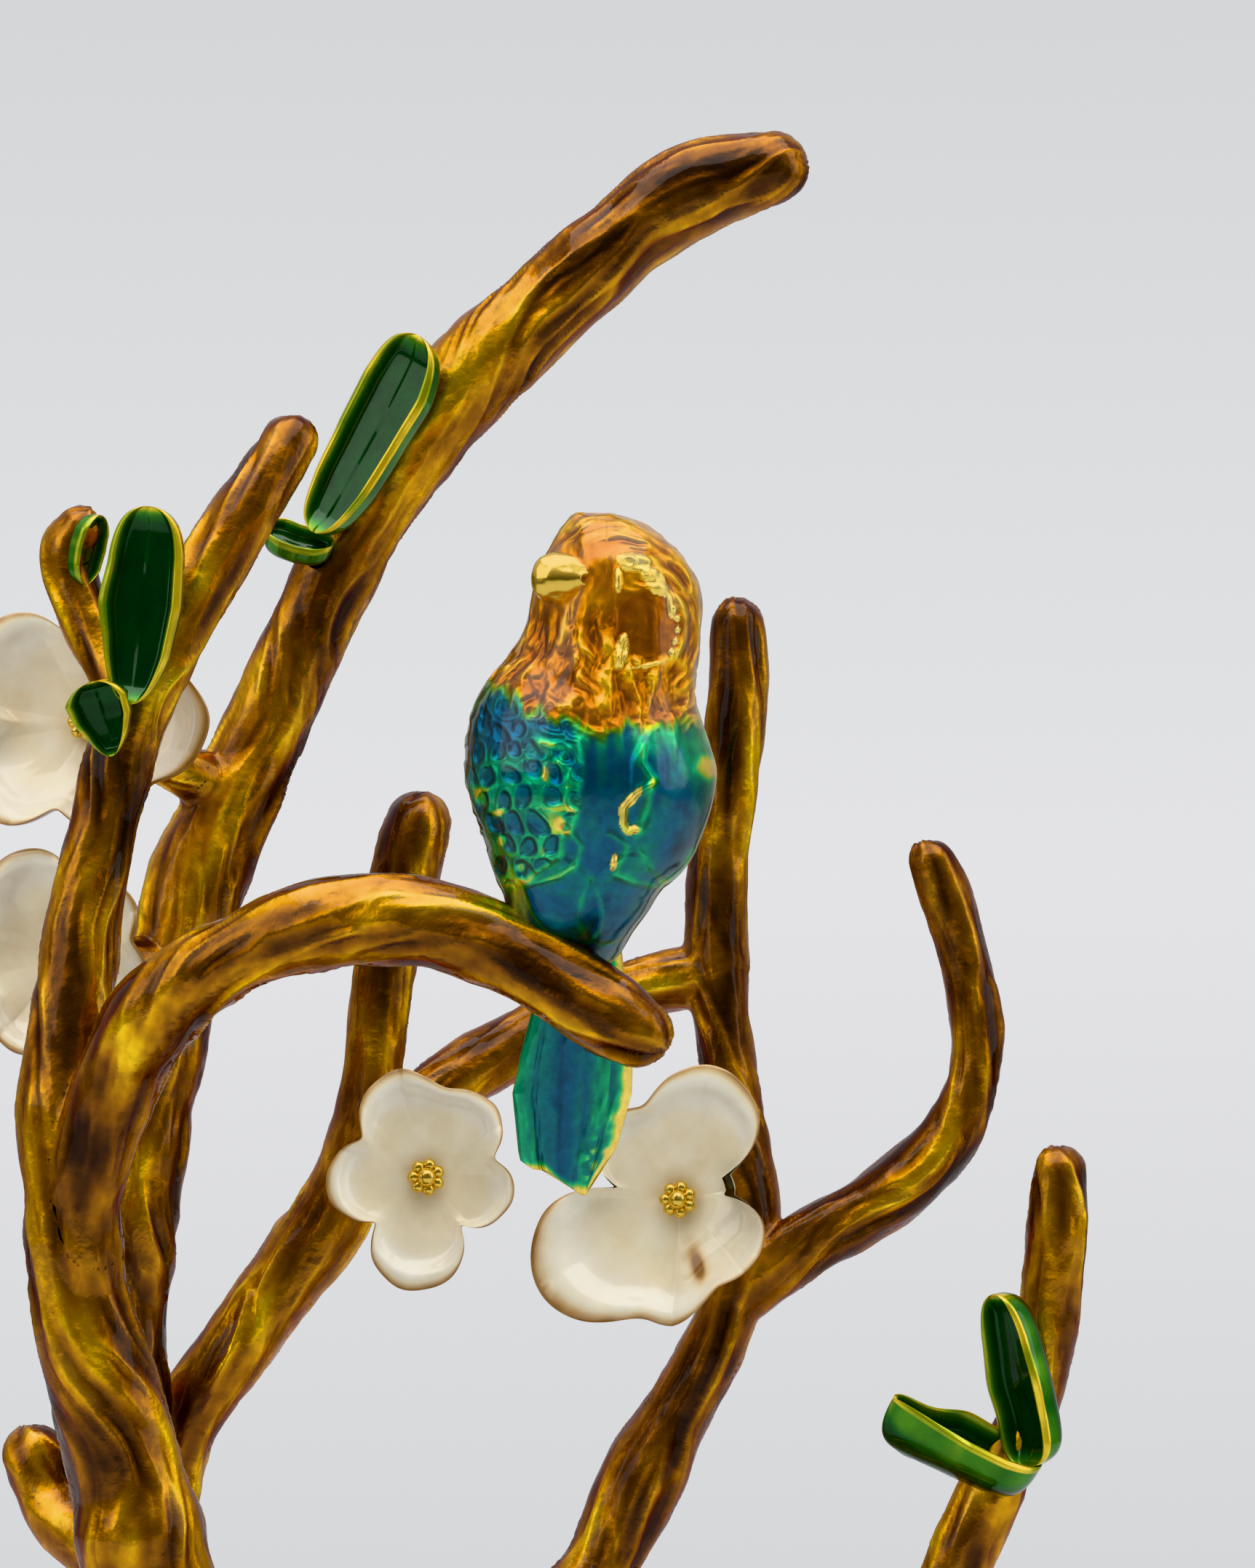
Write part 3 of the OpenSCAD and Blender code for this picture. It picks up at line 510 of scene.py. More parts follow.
for node in sorted(set(node_of)):
    mine = f[(node_of[f[:, 0]] == node)]
    used, flat = np.unique(mine, return_inverse=True)
    q = flat.reshape(-1, 4)
    polys = close_cuts(v[used], q)
    piece(node + "_casting", v[used], polys, [node], BARK, paint[used], out[used], glass[used])

# %% [markdown]
# ## The base
# A low mound with roots that run out from the trunk, on a felt pad. It takes its outline from the CAD mound.

# %%
low, high = (np.array(b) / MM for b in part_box("base_mound"))
centre, half = (low + high) / 2, (high - low) / 2
rows, cols = 90, 300
a = np.linspace(0, 2 * np.pi, cols, endpoint=False)[None, :]
edge = 0.985 / np.sqrt((np.cos(a) / half[0]) ** 2 + (np.sin(a) / half[1]) ** 2) * (1
    + 0.012 * np.cos(5 * a + 0.35))
k = np.linspace(0, 1, rows)[:, None]
dome = (high[2] - low[2] - 1.2) * (1 - k**1.9) * 0.93
roots = 0
for start, wide in ((0.3, 1.0), (1.5, 0.8), (2.5, 0.9), (3.7, 1.0), (4.6, 0.8), (5.5, 0.9)):
    off = np.angle(np.exp(1j * (a - start - 0.35 * np.sin(5 * k + start))))
    roots = roots + np.exp(-((off * (0.12 + k) / (0.13 * wide)) ** 2)) * (1 - smooth(0.55, 0.97, k)) * 2.4
x, y = centre[0] + edge * k * np.cos(a), centre[1] + edge * k * np.sin(a)
rough = clouds(vec(x / 6, y / 6, 0 * x), 3, 60)
z = low[2] + 1.6 + np.minimum(dome + roots * (1 - 0.4 * k) + 0.4 * rough * smooth(1, 0.8, k),
    high[2] - low[2] - 1.7)
top = vec(x, y, z)
skirt = [vec(centre[0] + edge * g * np.cos(a), centre[1] + edge * g * np.sin(a), low[2] + h)[0]
    for g, h in ((1, 1.3), (0.998, 0.8), (0.99, 0.3), (0.975, 0), (0.6, 0), (0.02, 0))]
v = np.vstack([top.reshape(-1, 3), *skirt])
crest = np.clip(np.broadcast_to(roots / 2.2, x.shape) + 0.35 * rough, 0, 1).ravel()
paint = palette(np.r_[1 - 0.75 * crest, np.full(len(skirt) * cols, 0.7)], BROWN)
base_faces = grid_faces(rows + len(skirt), cols)[:, ::-1]
piece("base_mound_casting", v, base_faces, ["base_mound"], BARK, paint)
for node, mat in (("base_pad", FELT), ("base_screw", STEEL), ("base_washer", STEEL)):
    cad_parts[node].data.materials.clear()
    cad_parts[node].data.materials.append(mat)
print("base", len(v), "points")

# %% [markdown]
# ## Leaf cups
# Long cups with a thick rounded rim, each on a short stem that goes into its branch. They keep to the places
# of the CAD leaves.

# %%
# foot, tip, facing, width, depth of the cup, and the share of the width at five places from foot to tip
LEAVES = {
    "leaf_left_large": ((-15, -10.6, 131.6), (-13.5, -11.4, 145.5), (-0.12, -1, 0.1), 5.6, 1.9,
        (0.5, 0.84, 1, 1, 0.86)),
    "leaf_left_small": ((-16.2, -10.2, 128), (-17.6, -10.9, 133.2), (-0.3, -0.8, 0.6), 4.4, 1.8,
        (0.3, 0.6, 0.9, 1, 0.8)),
    "leaf_tall_large": ((-2.9, 8.8, 144.4), (4.9, 7.6, 158.7), (-0.5, -0.85, 0.1), 6.2, 1.9,
        (0.55, 0.8, 0.95, 1, 0.8)),
    "leaf_tall_small": ((-1.6, 9.6, 143.4), (-6.6, 9.4, 144.6), (-0.2, -0.6, 0.75), 3.2, 1.2,
        (0.6, 0.9, 1, 0.9, 0.6)),
    "leaf_low_upper": ((49.4, 6.4, 76.2), (46.9, 6.0, 88.9), (-0.72, -0.66, 0.1), 5.2, 2.2,
        (1, 1, 0.92, 0.82, 0.6)),
    "leaf_low_lower": ((50.2, 7, 76.4), (39.2, 5.0, 81.2), (0.05, -0.42, 0.9), 5.6, 3.2,
        (0.9, 1, 0.86, 0.5, 0.12)),
    "twig_bud": ((-18.9, -4.4, 140.2), (-17.7, -4.4, 145.2), (0.75, -0.65, 0.1), 2.5, 0.9,
        (0.5, 0.9, 1, 0.95, 0.7)),
}
# where the stem of each leaf goes into its branch
STEMS = {
    "leaf_left_large": (-13.4, -6, 134.5), "leaf_left_small": (-15.6, -6, 128.8),
    "leaf_tall_large": (3, 14, 149.2),
    "leaf_tall_small": (-1.6, 14, 141.6), "leaf_low_upper": (49.8, 10, 81),
    "leaf_low_lower": (47.6, 10, 75.6),
    "twig_bud": (-19.3, -2.8, 141),
}
STEM_R = 0.7


def rod(start, end, radius, sides=20):
    """Vertices and faces of a closed round rod."""
    start, end = np.array(start, float), np.array(end, float)
    axis = unit(end - start)
    across = unit(np.cross(axis, [0.1, 0.2, 1]))
    turn = np.linspace(0, 2 * np.pi, sides, endpoint=False)[:, None]
    circle = radius * (across * np.cos(turn) + np.cross(axis, across) * np.sin(turn))
    return np.vstack([start + circle, end + circle]), closed(2, sides)


GREENS = [(0, "#F2D23C"), (0.16, "#A8AE14"), (0.34, "#4C8E10"), (0.55, "#14660E"), (0.78, "#054614"),
    (1, "#033210")]
rows, cols = 90, 120
for i, (node, (foot, tip, facing, width, cup, shares)) in enumerate(LEAVES.items()):
    foot, tip = np.array(foot, float), np.array(tip, float)
    side = unit(np.cross(tip - foot, facing))
    face = unit(np.cross(side, tip - foot))
    u = (0.5 - 0.5 * np.cos(np.linspace(0.03, np.pi - 0.03, rows)))[:, None]
    b = np.linspace(0, 2 * np.pi, cols, endpoint=False)[None, :]
    ends = (1 - np.abs(2 * u - 1) ** 7) ** 0.5
    full = ends * np.interp(u, (0, 0.25, 0.5, 0.75, 1), shares)
    across, top = np.cos(b), np.sin(b) > 0
    wave = 0.1 * noise(vec(u * 4, np.sign(across), i + 0 * u), 30 + i)
    bead = bell(np.abs(across) - 0.84, 0.15)
    floor = smooth(0.82, 0.62, np.abs(across)) * smooth(0, 0.1, u) * smooth(1, 0.88, u)
    rise = np.where(top, 0.32 * bead - 0.42 * cup * floor, -0.55 - cup * np.abs(np.sin(b)) ** 0.9)
    seam = smooth(0, 0.22, np.abs(np.sin(b)))
    rise = rise * seam - 0.1 * (1 - seam)
    out = rise * ends**0.8 + 0.9 * (u - 0.45) ** 2 + wave * width * 0.3
    v = (foot + (tip - foot) * u[..., None] + side * (width / 2 * full * across * (1 + wave))[..., None]
        + face * (out * np.ones_like(b))[..., None])
    streak = noise(vec(u * 9, across * 5, 3), 44)
    deep = np.where(top, 0.3 + 0.6 * floor, 0.86 + 0.1 * streak - 0.45 * smooth(0.8, 1, np.abs(across)))
    gilt = smooth(0.25, 0.75,
        0.5 + 0.5 * noise(vec(u * 5, np.sign(across) * 2, i), 45) + 0.25 * np.sign(across))
    deep = deep - np.where(top, (0.1 + 0.24 * gilt) * smooth(0.66, 0.92, np.abs(across)),
        0) - 0.3 * smooth(0.955, 1, u)
    deep = deep + 0.06 * streak - 0.1 * smooth(0.06, 0, u)
    f = closed(rows, cols)
    tone = palette(np.clip(deep, 0, 1), GREENS).reshape(-1, 3)
    back = v[int(rows * 0.4), int(cols * 0.75)]
    stem, stem_faces = rod(back + face * 0.6, STEMS[node], STEM_R)
    f += [[k + rows * cols for k in q] for q in stem_faces]
    tone = np.vstack([tone, np.tile(palette(np.array([0.45]), GREENS), (len(stem), 1))])
    piece(node + "_cup", np.vstack([v.reshape(-1, 3), stem]), f, [node], LEAF, tone)
print("leaves", len(LEAVES))

# %% [markdown]
# ## Blossoms
# Each has its own petals: direction in degrees (0 right, 90 up, seen from its face), length as a share of
# the radius, and how far the petal lifts. Petals overlap a little, one edge over the next.

# %%
BLOSSOMS = {
    "blossom_middle": ((5.1, 12.2, 97), (0.1, -1, 0.05), 7.6, 0.9,
        ((111, 1.08, 0.2), (54, 0.98, 0.5), (-16, 0.86, 0.2), (-98, 1.1, 0.1), (183, 0.98, 0.4))),
    "blossom_large": ((23.8, 12.4, 95.3), (-0.12, -1, 0.08), 9.3, 1.3,
        ((72, 1.1, 0.6), (128, 0.84, 0.4), (215, 1.32, 0.2), (264, 1.0, 0.5), (-40, 0.88, 3.0))),
    "blossom_upper": ((-19, 3.6, 130.4), (-0.25, -0.95, 0.15), 9.5, 2.2,
        ((140, 1.04, 0.6), (68, 0.9, 0.4), (-4, 1.05, 0.3), (222, 1.05, 1.2), (292, 0.9, 0.2))),
    "blossom_lower": ((-20.8, 2.4, 113.4), (-0.2, -0.95, 0.1), 7.6, 1.6,
        ((114, 1.08, 0.3), (42, 0.95, 0.3), (-22, 0.98, 0.3), (246, 1.0, 0.3), (184, 1.0, 0.5))),
}
CREAMS = [(0, "#FFF8E6"), (0.3, "#FAECCB"), (0.6, "#EBD3A4"), (0.82, "#CCA368"), (1, "#94652A")]
PETAL_SPREAD = math.radians(47)
around, out_rows, rim_rows, back_rows = 320, 44, 6, 16
a = np.linspace(0, 2 * np.pi, around, endpoint=False)[None, :]
for i, (node, (centre, facing, radius, cup, petals)) in enumerate(BLOSSOMS.items()):
    face = unit(facing)
    right = unit(np.cross(face, [0, 0, 1]))
    right = right * (1 if right[0] > 0 else -1)
    up = np.cross(right, face)
    up = up * (1 if up[2] > 0 else -1)
    reach, lift, tilt, curl = np.full(a.shape, 0.4**9), 0, 0, 0
    for turn, share, raised in petals:
        off = np.angle(np.exp(1j * (a - math.radians(turn)))) / PETAL_SPREAD
        lobe = share * np.clip(np.cos(np.clip(off, -1, 1) * np.pi / 2), 0, 1) ** 0.36
        reach = reach + lobe**9
        mine = np.clip(1.08 - np.abs(off), 0, 1) ** 0.7
        lift, tilt, curl = lift + raised * mine, tilt + 0.4 * off * mine, curl + 0.9 * off**2 * mine
    reach = reach ** (1 / 9) * (1 + 0.02 * noise(vec(np.cos(a) * 4, np.sin(a) * 4, i), 70))
    rows = []
    front = [(k, 0) for k in np.linspace(0.02, 0.985, out_rows)]
    rim = [(math.cos(b) * 0.02 + 0.98, -0.5 + 0.5 * math.cos(b * 2))
        for b in np.linspace(0.25, 1.3, rim_rows)]
    for k, back in front + rim + [(k, -1) for k in np.linspace(0.975, 0.02, back_rows)]:
        grow = k**2.2
        wave = 0.35 * noise(vec(np.cos(a) * 2.6 * k, np.sin(a) * 2.6 * k, i + 0.5), 72) * k
        roll = 0.55 * bell(k - 0.9, 0.09) * reach
        h = roll + cup * grow + (lift + tilt + curl) * grow * (1.2 - 0.3 * k) + wave + back * (0.95 - 0.2 * k)
        r = radius * k * reach**grow - 0.18 * lift * grow
        rows.append(np.array(centre) + right * (r * np.cos(a))[0][:, None] + up * (r * np.sin(a))[0][:, None]
            + face * np.broadcast_to(h, a.shape)[0][:, None])
    v = np.vstack(rows)
    k_of = np.repeat(np.r_[np.linspace(0, 1, out_rows), np.ones(rim_rows), np.linspace(1, 0.2, back_rows)],
        around)
    # painted shade: the cream turns darker towards the heart of each cup and in the notches between the
    # petals; the rims are tan
    notch_shade = np.tile((1 - np.clip((reach[0] - 0.5) / 0.4, 0, 1)), len(rows))
    tone = 0.3 + 0.65 * smooth(0.93, 1, k_of) + 0.3 * smooth(0.3, 0.05, k_of)
    tone = tone + 0.35 * notch_shade * smooth(0.55, 1, k_of)
    tone = tone - 0.3 * bell(k_of - 0.84, 0.12)
    # painted shadow: two dark slits on the large blossom where its petals part
    if node == "blossom_large":
        way = np.tile(a[0], len(rows))
        for turn, k_at in ((8, 0.86), (-72, 0.6)):
            shadow_slit_offset = np.abs(np.angle(np.exp(1j * (way - math.radians(turn))))) * k_of
            tone = tone + 0.9 * np.exp(-((shadow_slit_offset / 0.07) ** 2) - ((k_of - k_at) / 0.2) ** 2)
    tone = np.clip(tone + 0.14 * clouds(v / 2.2, 3, 75), 0, 1)
    f = [list(q) for q in grid_faces(len(rows), around)[:, ::-1]]
    f += [list(range(around)), list(range(len(v) - around, len(v)))[::-1]]
    if np.dot(np.cross(right, up), face) < 0:
        f = [q[::-1] for q in f]
    piece(node + "_petals", v, f, [node], PETAL, palette(tone, CREAMS))

# where the pin of each blossom goes into its branch
FIXINGS = {
    "blossom_middle": (1.3, 17.4, 98),
    "blossom_large": (28.8, 19.4, 95.6),
    "blossom_upper": (-15.4, 8.7, 128.5),
    "blossom_lower": (-17.2, 7.3, 113.05),
}
PIN_R = 0.6
# each heart is a ring of gilt stamens round a larger one, on the pin that holds the blossom
BALL_ROWS, BALL_COLS = 12, 20
TURNS = np.linspace(0, 2 * np.pi, BALL_COLS, endpoint=False)[None, :]
FALL = np.linspace(0.08, np.pi - 0.08, BALL_ROWS)[:, None]
BALL = vec(np.sin(FALL) * np.cos(TURNS), np.sin(FALL) * np.sin(TURNS), np.cos(FALL)).reshape(-1, 3)
BALL_FACES = [q[::-1] for q in closed(BALL_ROWS, BALL_COLS)]
for pin, (node, (centre, facing, radius, cup, petals)) in zip(
    ("pin_middle", "pin_large", "pin_upper", "pin_lower"), BLOSSOMS.items()):
    face = unit(facing)
    right = unit(np.cross(face, [0, 0, 1]))
    up = np.cross(right, face)
    # place on the heart, height and radius of each bead
    spots = [(0, 0, 1.1, 0.72)]
    spots += [(0.92 * math.cos(b), 0.92 * math.sin(b), 0.75, 0.48) for b in np.radians(range(0, 360, 52))]
    v = np.vstack([np.array(centre) + right * p + up * q + face * h + BALL * r for p, q, h, r in spots])
    f = [[k + len(BALL) * j for k in q] for j in range(len(spots)) for q in BALL_FACES]
    ends, shaft = rod(np.array(centre) + face * 0.9, FIXINGS[node], PIN_R)
    f += [[k + len(v) for k in q] for q in shaft]
    piece(pin + "_stamens", np.vstack([v, ends]), f, [pin], GILT)
print("blossoms", len(BLOSSOMS))

# %% [markdown]
# ## The bird
# A fine skin over the profile of the bird. Its features are given in the plane seen from the front (x across,
# z up): each raises or sinks the surface, and thins or deepens the enamel there. Enamel 0 is bare gilt.

# %%
# height, left edge, right edge, middle front to back, half depth
PROFILE = [
    (112.6, 13.2, 17.8, -18.1, 1.3), (113.6, 12.3, 19, -18.8, 2.6), (114.6, 11.8, 19.8, -19.6, 3.5),
    (115.7, 11.6, 20.2, -20.1, 4.2), (117.1, 11.7, 21.3, -20.4, 5.1), (118.6, 11.5, 22.2, -20.7, 5.9),
    (121, 10.7, 24.3, -21, 6.9), (123.2, 9.9, 25.2, -21.1, 7.5), (125.6, 9.1, 25.9, -21.2, 7.8),
    (127.5, 8.9, 25.9, -21.2, 7.7), (129.5, 9.1, 25.1, -21.1, 7.4), (131.3, 9.4, 24.6, -21, 6.9),
    (133, 10.1, 24.6, -21, 6.5), (134.1, 11.5, 24.8, -21, 6.3), (135.4, 12.4, 25, -21, 6.1),
    (136.9, 13.2, 25, -21, 6), (138.2, 13.3, 25.1, -21, 5.95), (139.2, 13.5, 25.1, -21, 5.9),
    (140.6, 13.7, 24.5, -21, 5.7), (141.9, 14.5, 23.6, -21, 5.2), (142.8, 15.1, 22.7, -21, 4.6),
    (143.7, 15.6, 21.4, -21, 3.7), (144.3, 16.0, 20.2, -21, 2.6), (144.5, 16.4, 19, -21, 1.4),
    (144.52, 17, 17.8, -21, 0.3),
]
fine = 1
rows, cols = 340 // fine, 440 // fine
prof = np.array(PROFILE)
length = np.r_[0, np.cumsum(np.hypot(np.diff(prof[:, 0]), np.diff(prof[:, 2] - prof[:, 1]) / 2))]
even = np.linspace(0, length[-1], rows)
z0, left, right, mid, deep = (np.interp(even, length, prof[:, k]) for k in range(5))
kernel = np.hanning(2 * (18 // fine) + 1)
kernel /= kernel.sum()


def soften(q):
    """The profile without its corners."""
    return np.convolve(np.pad(q, len(kernel) // 2, "reflect", reflect_type="odd"), kernel, "valid")


z0, left, right, mid, deep = (soften(q)[:, None] for q in (z0, left, right, mid, deep))
a = np.linspace(0, 2 * np.pi, cols, endpoint=False)[None, :]
x = (left + right) / 2 + (right - left) / 2 * np.cos(a)
y = mid - deep * np.sin(a)
z = z0 + 0 * a
v = vec(x, y, z).reshape(-1, 3)
skin_faces = grid_faces(rows, cols)[:, ::-1]
out = surface_normals(v, skin_faces)
x, y, z = v.T
front = smooth(-1.5, 0.5, np.broadcast_to(mid, (rows, cols)).ravel() - y)


def oval(cx, cz, ax, az, lean=0.0):
    """Distance from an ellipse's middle, 1 on its edge, in the front plane."""
    c, s = math.cos(math.radians(lean)), math.sin(math.radians(lean))
    dx, dz = x - cx, z - cz
    return np.hypot((dx * c + dz * s) / ax, (dz * c - dx * s) / az)


def within(d, edge=0.25):
    """1 inside an oval, falling to 0 across its edge."""
    return smooth(1 + edge, 1 - edge, d)


def ring(d, width=0.18, middle=1.0):
    """1 on the edge of an oval, falling to 0 on both sides."""
    return bell(d - middle, width)


def stroke(points):
    """Distance in mm from a line drawn through points of the front plane."""
    best = np.full(x.shape, 99.0)
    for (ax, az), (bx, bz) in zip(points[:-1], points[1:]):
        t = np.clip(((x - ax) * (bx - ax) + (z - az) * (bz - az)) / ((bx - ax) ** 2 + (bz - az) ** 2), 0, 1)
        best = np.minimum(best, np.hypot(x - ax - t * (bx - ax), z - az - t * (bz - az)))
    return best


colour_line = np.interp(x, [8, 9.5, 12, 14, 16, 18, 20, 22, 25],
    [133.2, 133, 132, 130.8, 129.8, 129.4, 129.8, 130.2, 130.4])
teeth = 0.55 * noise(vec(x * 1.9, 0 * x, z * 0.35), 101) + 0.35 * noise(vec(x * 4.5, y, z), 102)
body = smooth(1.1, -1.1, z - colour_line + teeth * 1.1)

# head: strands over crown and nape, lumpy streaks on the throat
arcs, sweep_angle = np.hypot(x - 20.6, z - 136.6), np.arctan2(z - 136.6, x - 20.6)
flow = vec(arcs * 1.9, sweep_angle * 2.2, y * 0.7)
warp = 0.4 * vec(noise(v / 1.5, 5), noise(v / 1.5, 6), 0 * x)
strands = 1 - np.abs(noise(flow + warp, 103)) * 2.0 - 0.5 * np.abs(noise(flow * 2.1 + warp, 104))
lumps = vec(x * 1.35, y * 1.35, z * 0.6) + 0.5 * vec(noise(v / 1.2, 7), noise(v / 1.2, 8), 0 * x)
streaks = 1.3 * noise(lumps, 105) + 0.5 * noise(lumps * 2.3, 106)
crown = np.clip(smooth(20.2, 21.8, x + 0.28 * (z - 139)) + (1 - front) + smooth(142, 143.2, z), 0, 1)
throat = smooth(138.6, 137, z) * (1 - crown)
face = np.clip(1 - crown - throat, 0, 1)
height = (1 - body) * (crown * 0.26 * strands + throat * (0.3 * streaks + 0.08 * strands)
    + face * 0.08 * streaks)
catch = smooth(0.35, 0.75, streaks)
enam = 0.42 * crown + 0.62 * throat + 0.5 * face - 0.26 * crown * strands
enam = enam - throat * (0.16 * streaks + 0.24 * catch)
enam = enam - 0.12 * face * streaks + 0.1 * smooth(0.1, -0.5, strands) * crown

cheek = oval(21.4, 136.8, 2.35, 2.4)
height = height * (1 - 0.9 * within(cheek, 0.12) * front) + 0.22 * front * np.clip(1 - cheek**2, 0, 1)
enam = enam + front * within(cheek, 0.15) * (0.78 - enam) * 0.85
arc = ring(cheek, 0.11, 1.12) * front * smooth(-0.2, 0.5, (x - 20.6) * 0.5 - (z - 137) * 0.12)
height += 0.1 * arc
enam -= 0.22 * arc

# gilt brow with its ring, gilt comma beside the cheek
rag = 0.3 * noise(v * 1.3, 111) + 0.15 * noise(v * 2.9, 114)
brow = np.minimum(oval(20.35, 141.0, 1.15, 0.62, -6), oval(21.85, 139.75, 1.35, 0.62, -48)) + rag
brow = np.minimum(brow, oval(19.35, 139.9, 0.3, 0.9, 4) + rag)
brow = np.minimum(brow, oval(22.9, 138.2, 0.3, 0.9, 8) + 2 * rag)
gilding = [(brow, 0.28)]
height += front * (0.16 * ring(oval(20.05, 141.05, 0.42, 0.34), 0.3)
    - 0.1 * within(oval(20.4, 139.8, 0.9, 0.6), 0.3))
for share in np.linspace(0, 1, 5):
    bead_x, bead_z = 23.15 - 0.3 * share + 0.35 * math.sin(3 * share), 138.0 - 3.0 * share
    gilding.append((oval(bead_x, bead_z, 0.14 + 0.1 * abs(math.sin(9 * share)), 0.2) + 1.2 * rag, 0.14))
gilding.append((oval(21.3, 134.05, 1.15, 0.16, 12) + 1.5 * rag, 0.16))
gilding.append((oval(19.6, 135.1, 0.42, 1.2, -8) + 0.6 * rag, 0.4))
for spot, proud in gilding:
    height += front * proud * np.clip(1.1 - spot**2, 0, 1) ** 0.5
    enam = np.where(front * within(spot, 0.1) > 0.5, 0.0, enam)
height -= front * 0.35 * within(oval(19.75, 134.9, 0.14, 0.75, -8), 0.4)
# a ridge runs from the crown down to the beak
ridge = np.abs((x - 16.6) - (144.3 - z) * 0.22)
height += front * 0.22 * bell(ridge, 0.45) * smooth(139, 141, z)

# left wing: a raised drop covered in feather pits set in staggered rows
wing_l = np.maximum(oval(12.2, 125.9, 4.6, 7.0, -8), 0) + 0.05 * noise(v * 0.9, 120)
on_l = within(wing_l, 0.06) * np.maximum(front, smooth(13, 10, x))
height += 0.42 * smooth(1.06, 0.94, wing_l) * np.maximum(front, smooth(13, 10, x))
span_x, span_z = 1.75, 1.55
# the rows wander a little; across is measured round the body, which keeps the pits even on the flank
round_x = (x - 16.8) * 0.35 + np.arcsin(np.clip((x - 17.4) / 8.7, -1, 1)) * 5.6
gx = (round_x + 0.3 * (z - 126) * 0.55) / span_x + 0.28 * noise(v / 2.3, 118)
gz = (z - 118) / span_z + 0.28 * noise(v / 2.3, 119)
row = np.floor(gz)
gx = gx + 0.5 * (row % 2)
cell = np.floor(gx)
cell_at = vec(cell, row, 0 * cell) + 0.37
jx, jz = 0.3 * noise(cell_at * 3.1, 121), 0.3 * noise(cell_at * 3.1, 122)
px, pz = gx - cell - 0.5 - jx, gz - row - 0.5 - jz
pit_size = 0.36 + 0.1 * noise(cell_at * 2.3, 123)
skew = 0.5 * noise(cell_at * 1.9, 126)
pit = np.hypot((px + skew * pz) * (1 + 0.5 * pz), pz * 0.78) / pit_size + 0.16 * noise(v * 1.5, 127)
pits = on_l * smooth(132.3, 130.6, z + 0.3 * (x - 12))
height += pits * (-0.3 * smooth(1.15, 0.5, pit) + 0.1 * ring(pit, 0.26, 1.15) + 0.05 * ring(pit, 0.2, 0.3))
net = smooth(0.85, 1.25, pit) * (0.75 + 0.55 * noise(v * 0.55, 129)) * (0.8 + 0.35 * smooth(0.3, -0.4, pz))
# painted highlights: glints on the lower rim of each feather pit and at listed spots on the left wing, drawn
# as thinner, lighter enamel
painted_glint = 0.5 * smooth(0.2, 0.6, noise(v * 0.9, 124)) * ring(pit, 0.22, 1.15) * smooth(0.1, -0.2, pz)
for gx0, gz0, ga, gb in ((10.1, 125.2, 0.3, 0.8), (11.4, 124.1, 0.5, 0.25), (11.6, 122.2, 0.3, 0.4),
    (15.5, 123.4, 0.35, 0.4),
        (14.5, 126.7, 0.3, 0.55), (12.8, 120.4, 0.3, 0.3), (15.9, 120.8, 0.25, 0.5)):
    painted_glint = np.maximum(painted_glint, 1.6 * within(oval(gx0, gz0, ga, gb, 20) + 0.2 * noise(v * 1.6, 128), 0.4))
fresh = clouds(v / 1.4, 2, 125)
breast = within(oval(18.1, 125.0, 2.5, 5.5, -4), 0.5)
body_e = 0.66 + 0.14 * breast + 0.1 * within(oval(23.2, 124.5, 1.6, 4), 0.6) + 0.08 * fresh
upper = smooth(125.5, 129.5, z - 0.25 * (x - 11))
lattice_tone = 0.7 - 0.36 * net * (1 - 0.6 * upper) - 0.3 * np.clip(painted_glint, 0, 2) + 0.16 * fresh + 0.16 * upper
body_e = body_e + pits * (lattice_tone - body_e)
rim_l = ring(wing_l, 0.05, 1.0) * np.maximum(front, smooth(13, 10, x))
low_rim = rim_l * smooth(122, 119.5, z)
body_e -= 0.4 * low_rim + 0.12 * rim_l
height += 0.08 * low_rim

# right wing: smooth, with a gilt shoulder tip
wing_r = oval(24.6, 124.6, 4.5, 6.6, 10) + 0.04 * noise(v * 0.8, 130)
flank = np.maximum(front, smooth(23, 25, x))
height += 0.36 * smooth(1.05, 0.93, wing_r) * flank
rim_r = ring(wing_r, 0.05) * flank
body_e -= 0.22 * rim_r * smooth(124, 119, z)
tip = oval(25.5, 127.1, 1.0, 0.75, -20)
height += 0.1 * np.clip(1 - tip**2, 0, 1) * flank
body_e = body_e - flank * (0.5 * within(tip, 0.6) + 0.22 * within(oval(24.9, 127.6, 1.7, 2.3, 10), 0.5))

# breast: a gilt-edged slot beside a dark hollow, a gilt drop, green streaks under the neck
streak = smooth(124.5, 130.5, z) * smooth(0.25, 0.75, 0.5 + 0.5 * noise(vec(x * 1.7, 3, z * 0.3), 131))
body_e -= 0.34 * streak * (1 - on_l)
height += 0.1 * streak * (1 - on_l)
slot_rim = stroke([(21.7, 126.1), (20.5, 125.3), (19.75, 124.4), (19.7, 123.3), (20.0, 122.75),
    (20.5, 122.95)])
slot_far = stroke([(21.0, 128.6), (20.85, 127.4), (21.6, 126.3), (21.35, 124.8), (20.75, 122.9)])
hollow = oval(20.75, 124.3, 0.75, 1.6, -14)
height += front * (0.3 * bell(slot_rim, 0.2) + 0.16 * bell(slot_far, 0.22) - 0.3 * within(hollow, 0.3))
body_e = body_e + front * within(hollow, 0.3) * (0.72 - body_e)
body_e -= front * (0.36 * bell(slot_far, 0.3) + 0.3 * bell(slot_rim, 0.35))
body_e = np.where(front * smooth(0.32, 0.2, slot_rim + 0.25 * rag) * smooth(21.2, 20.4, x) > 0.4, 0.0, body_e)
drop_rim = stroke([(18.85, 122.6), (20.0, 121.8), (19.3, 120.4)])
drop = oval(19.05, 120.75, 0.2, 0.6, -10)
height += front * (0.14 * bell(drop_rim, 0.2) + 0.25 * np.clip(1 - drop**2, 0, 1))
body_e -= front * 0.3 * bell(drop_rim, 0.25)
body_e = np.where(front * within(drop, 0.15) > 0.5, 0.0, body_e)
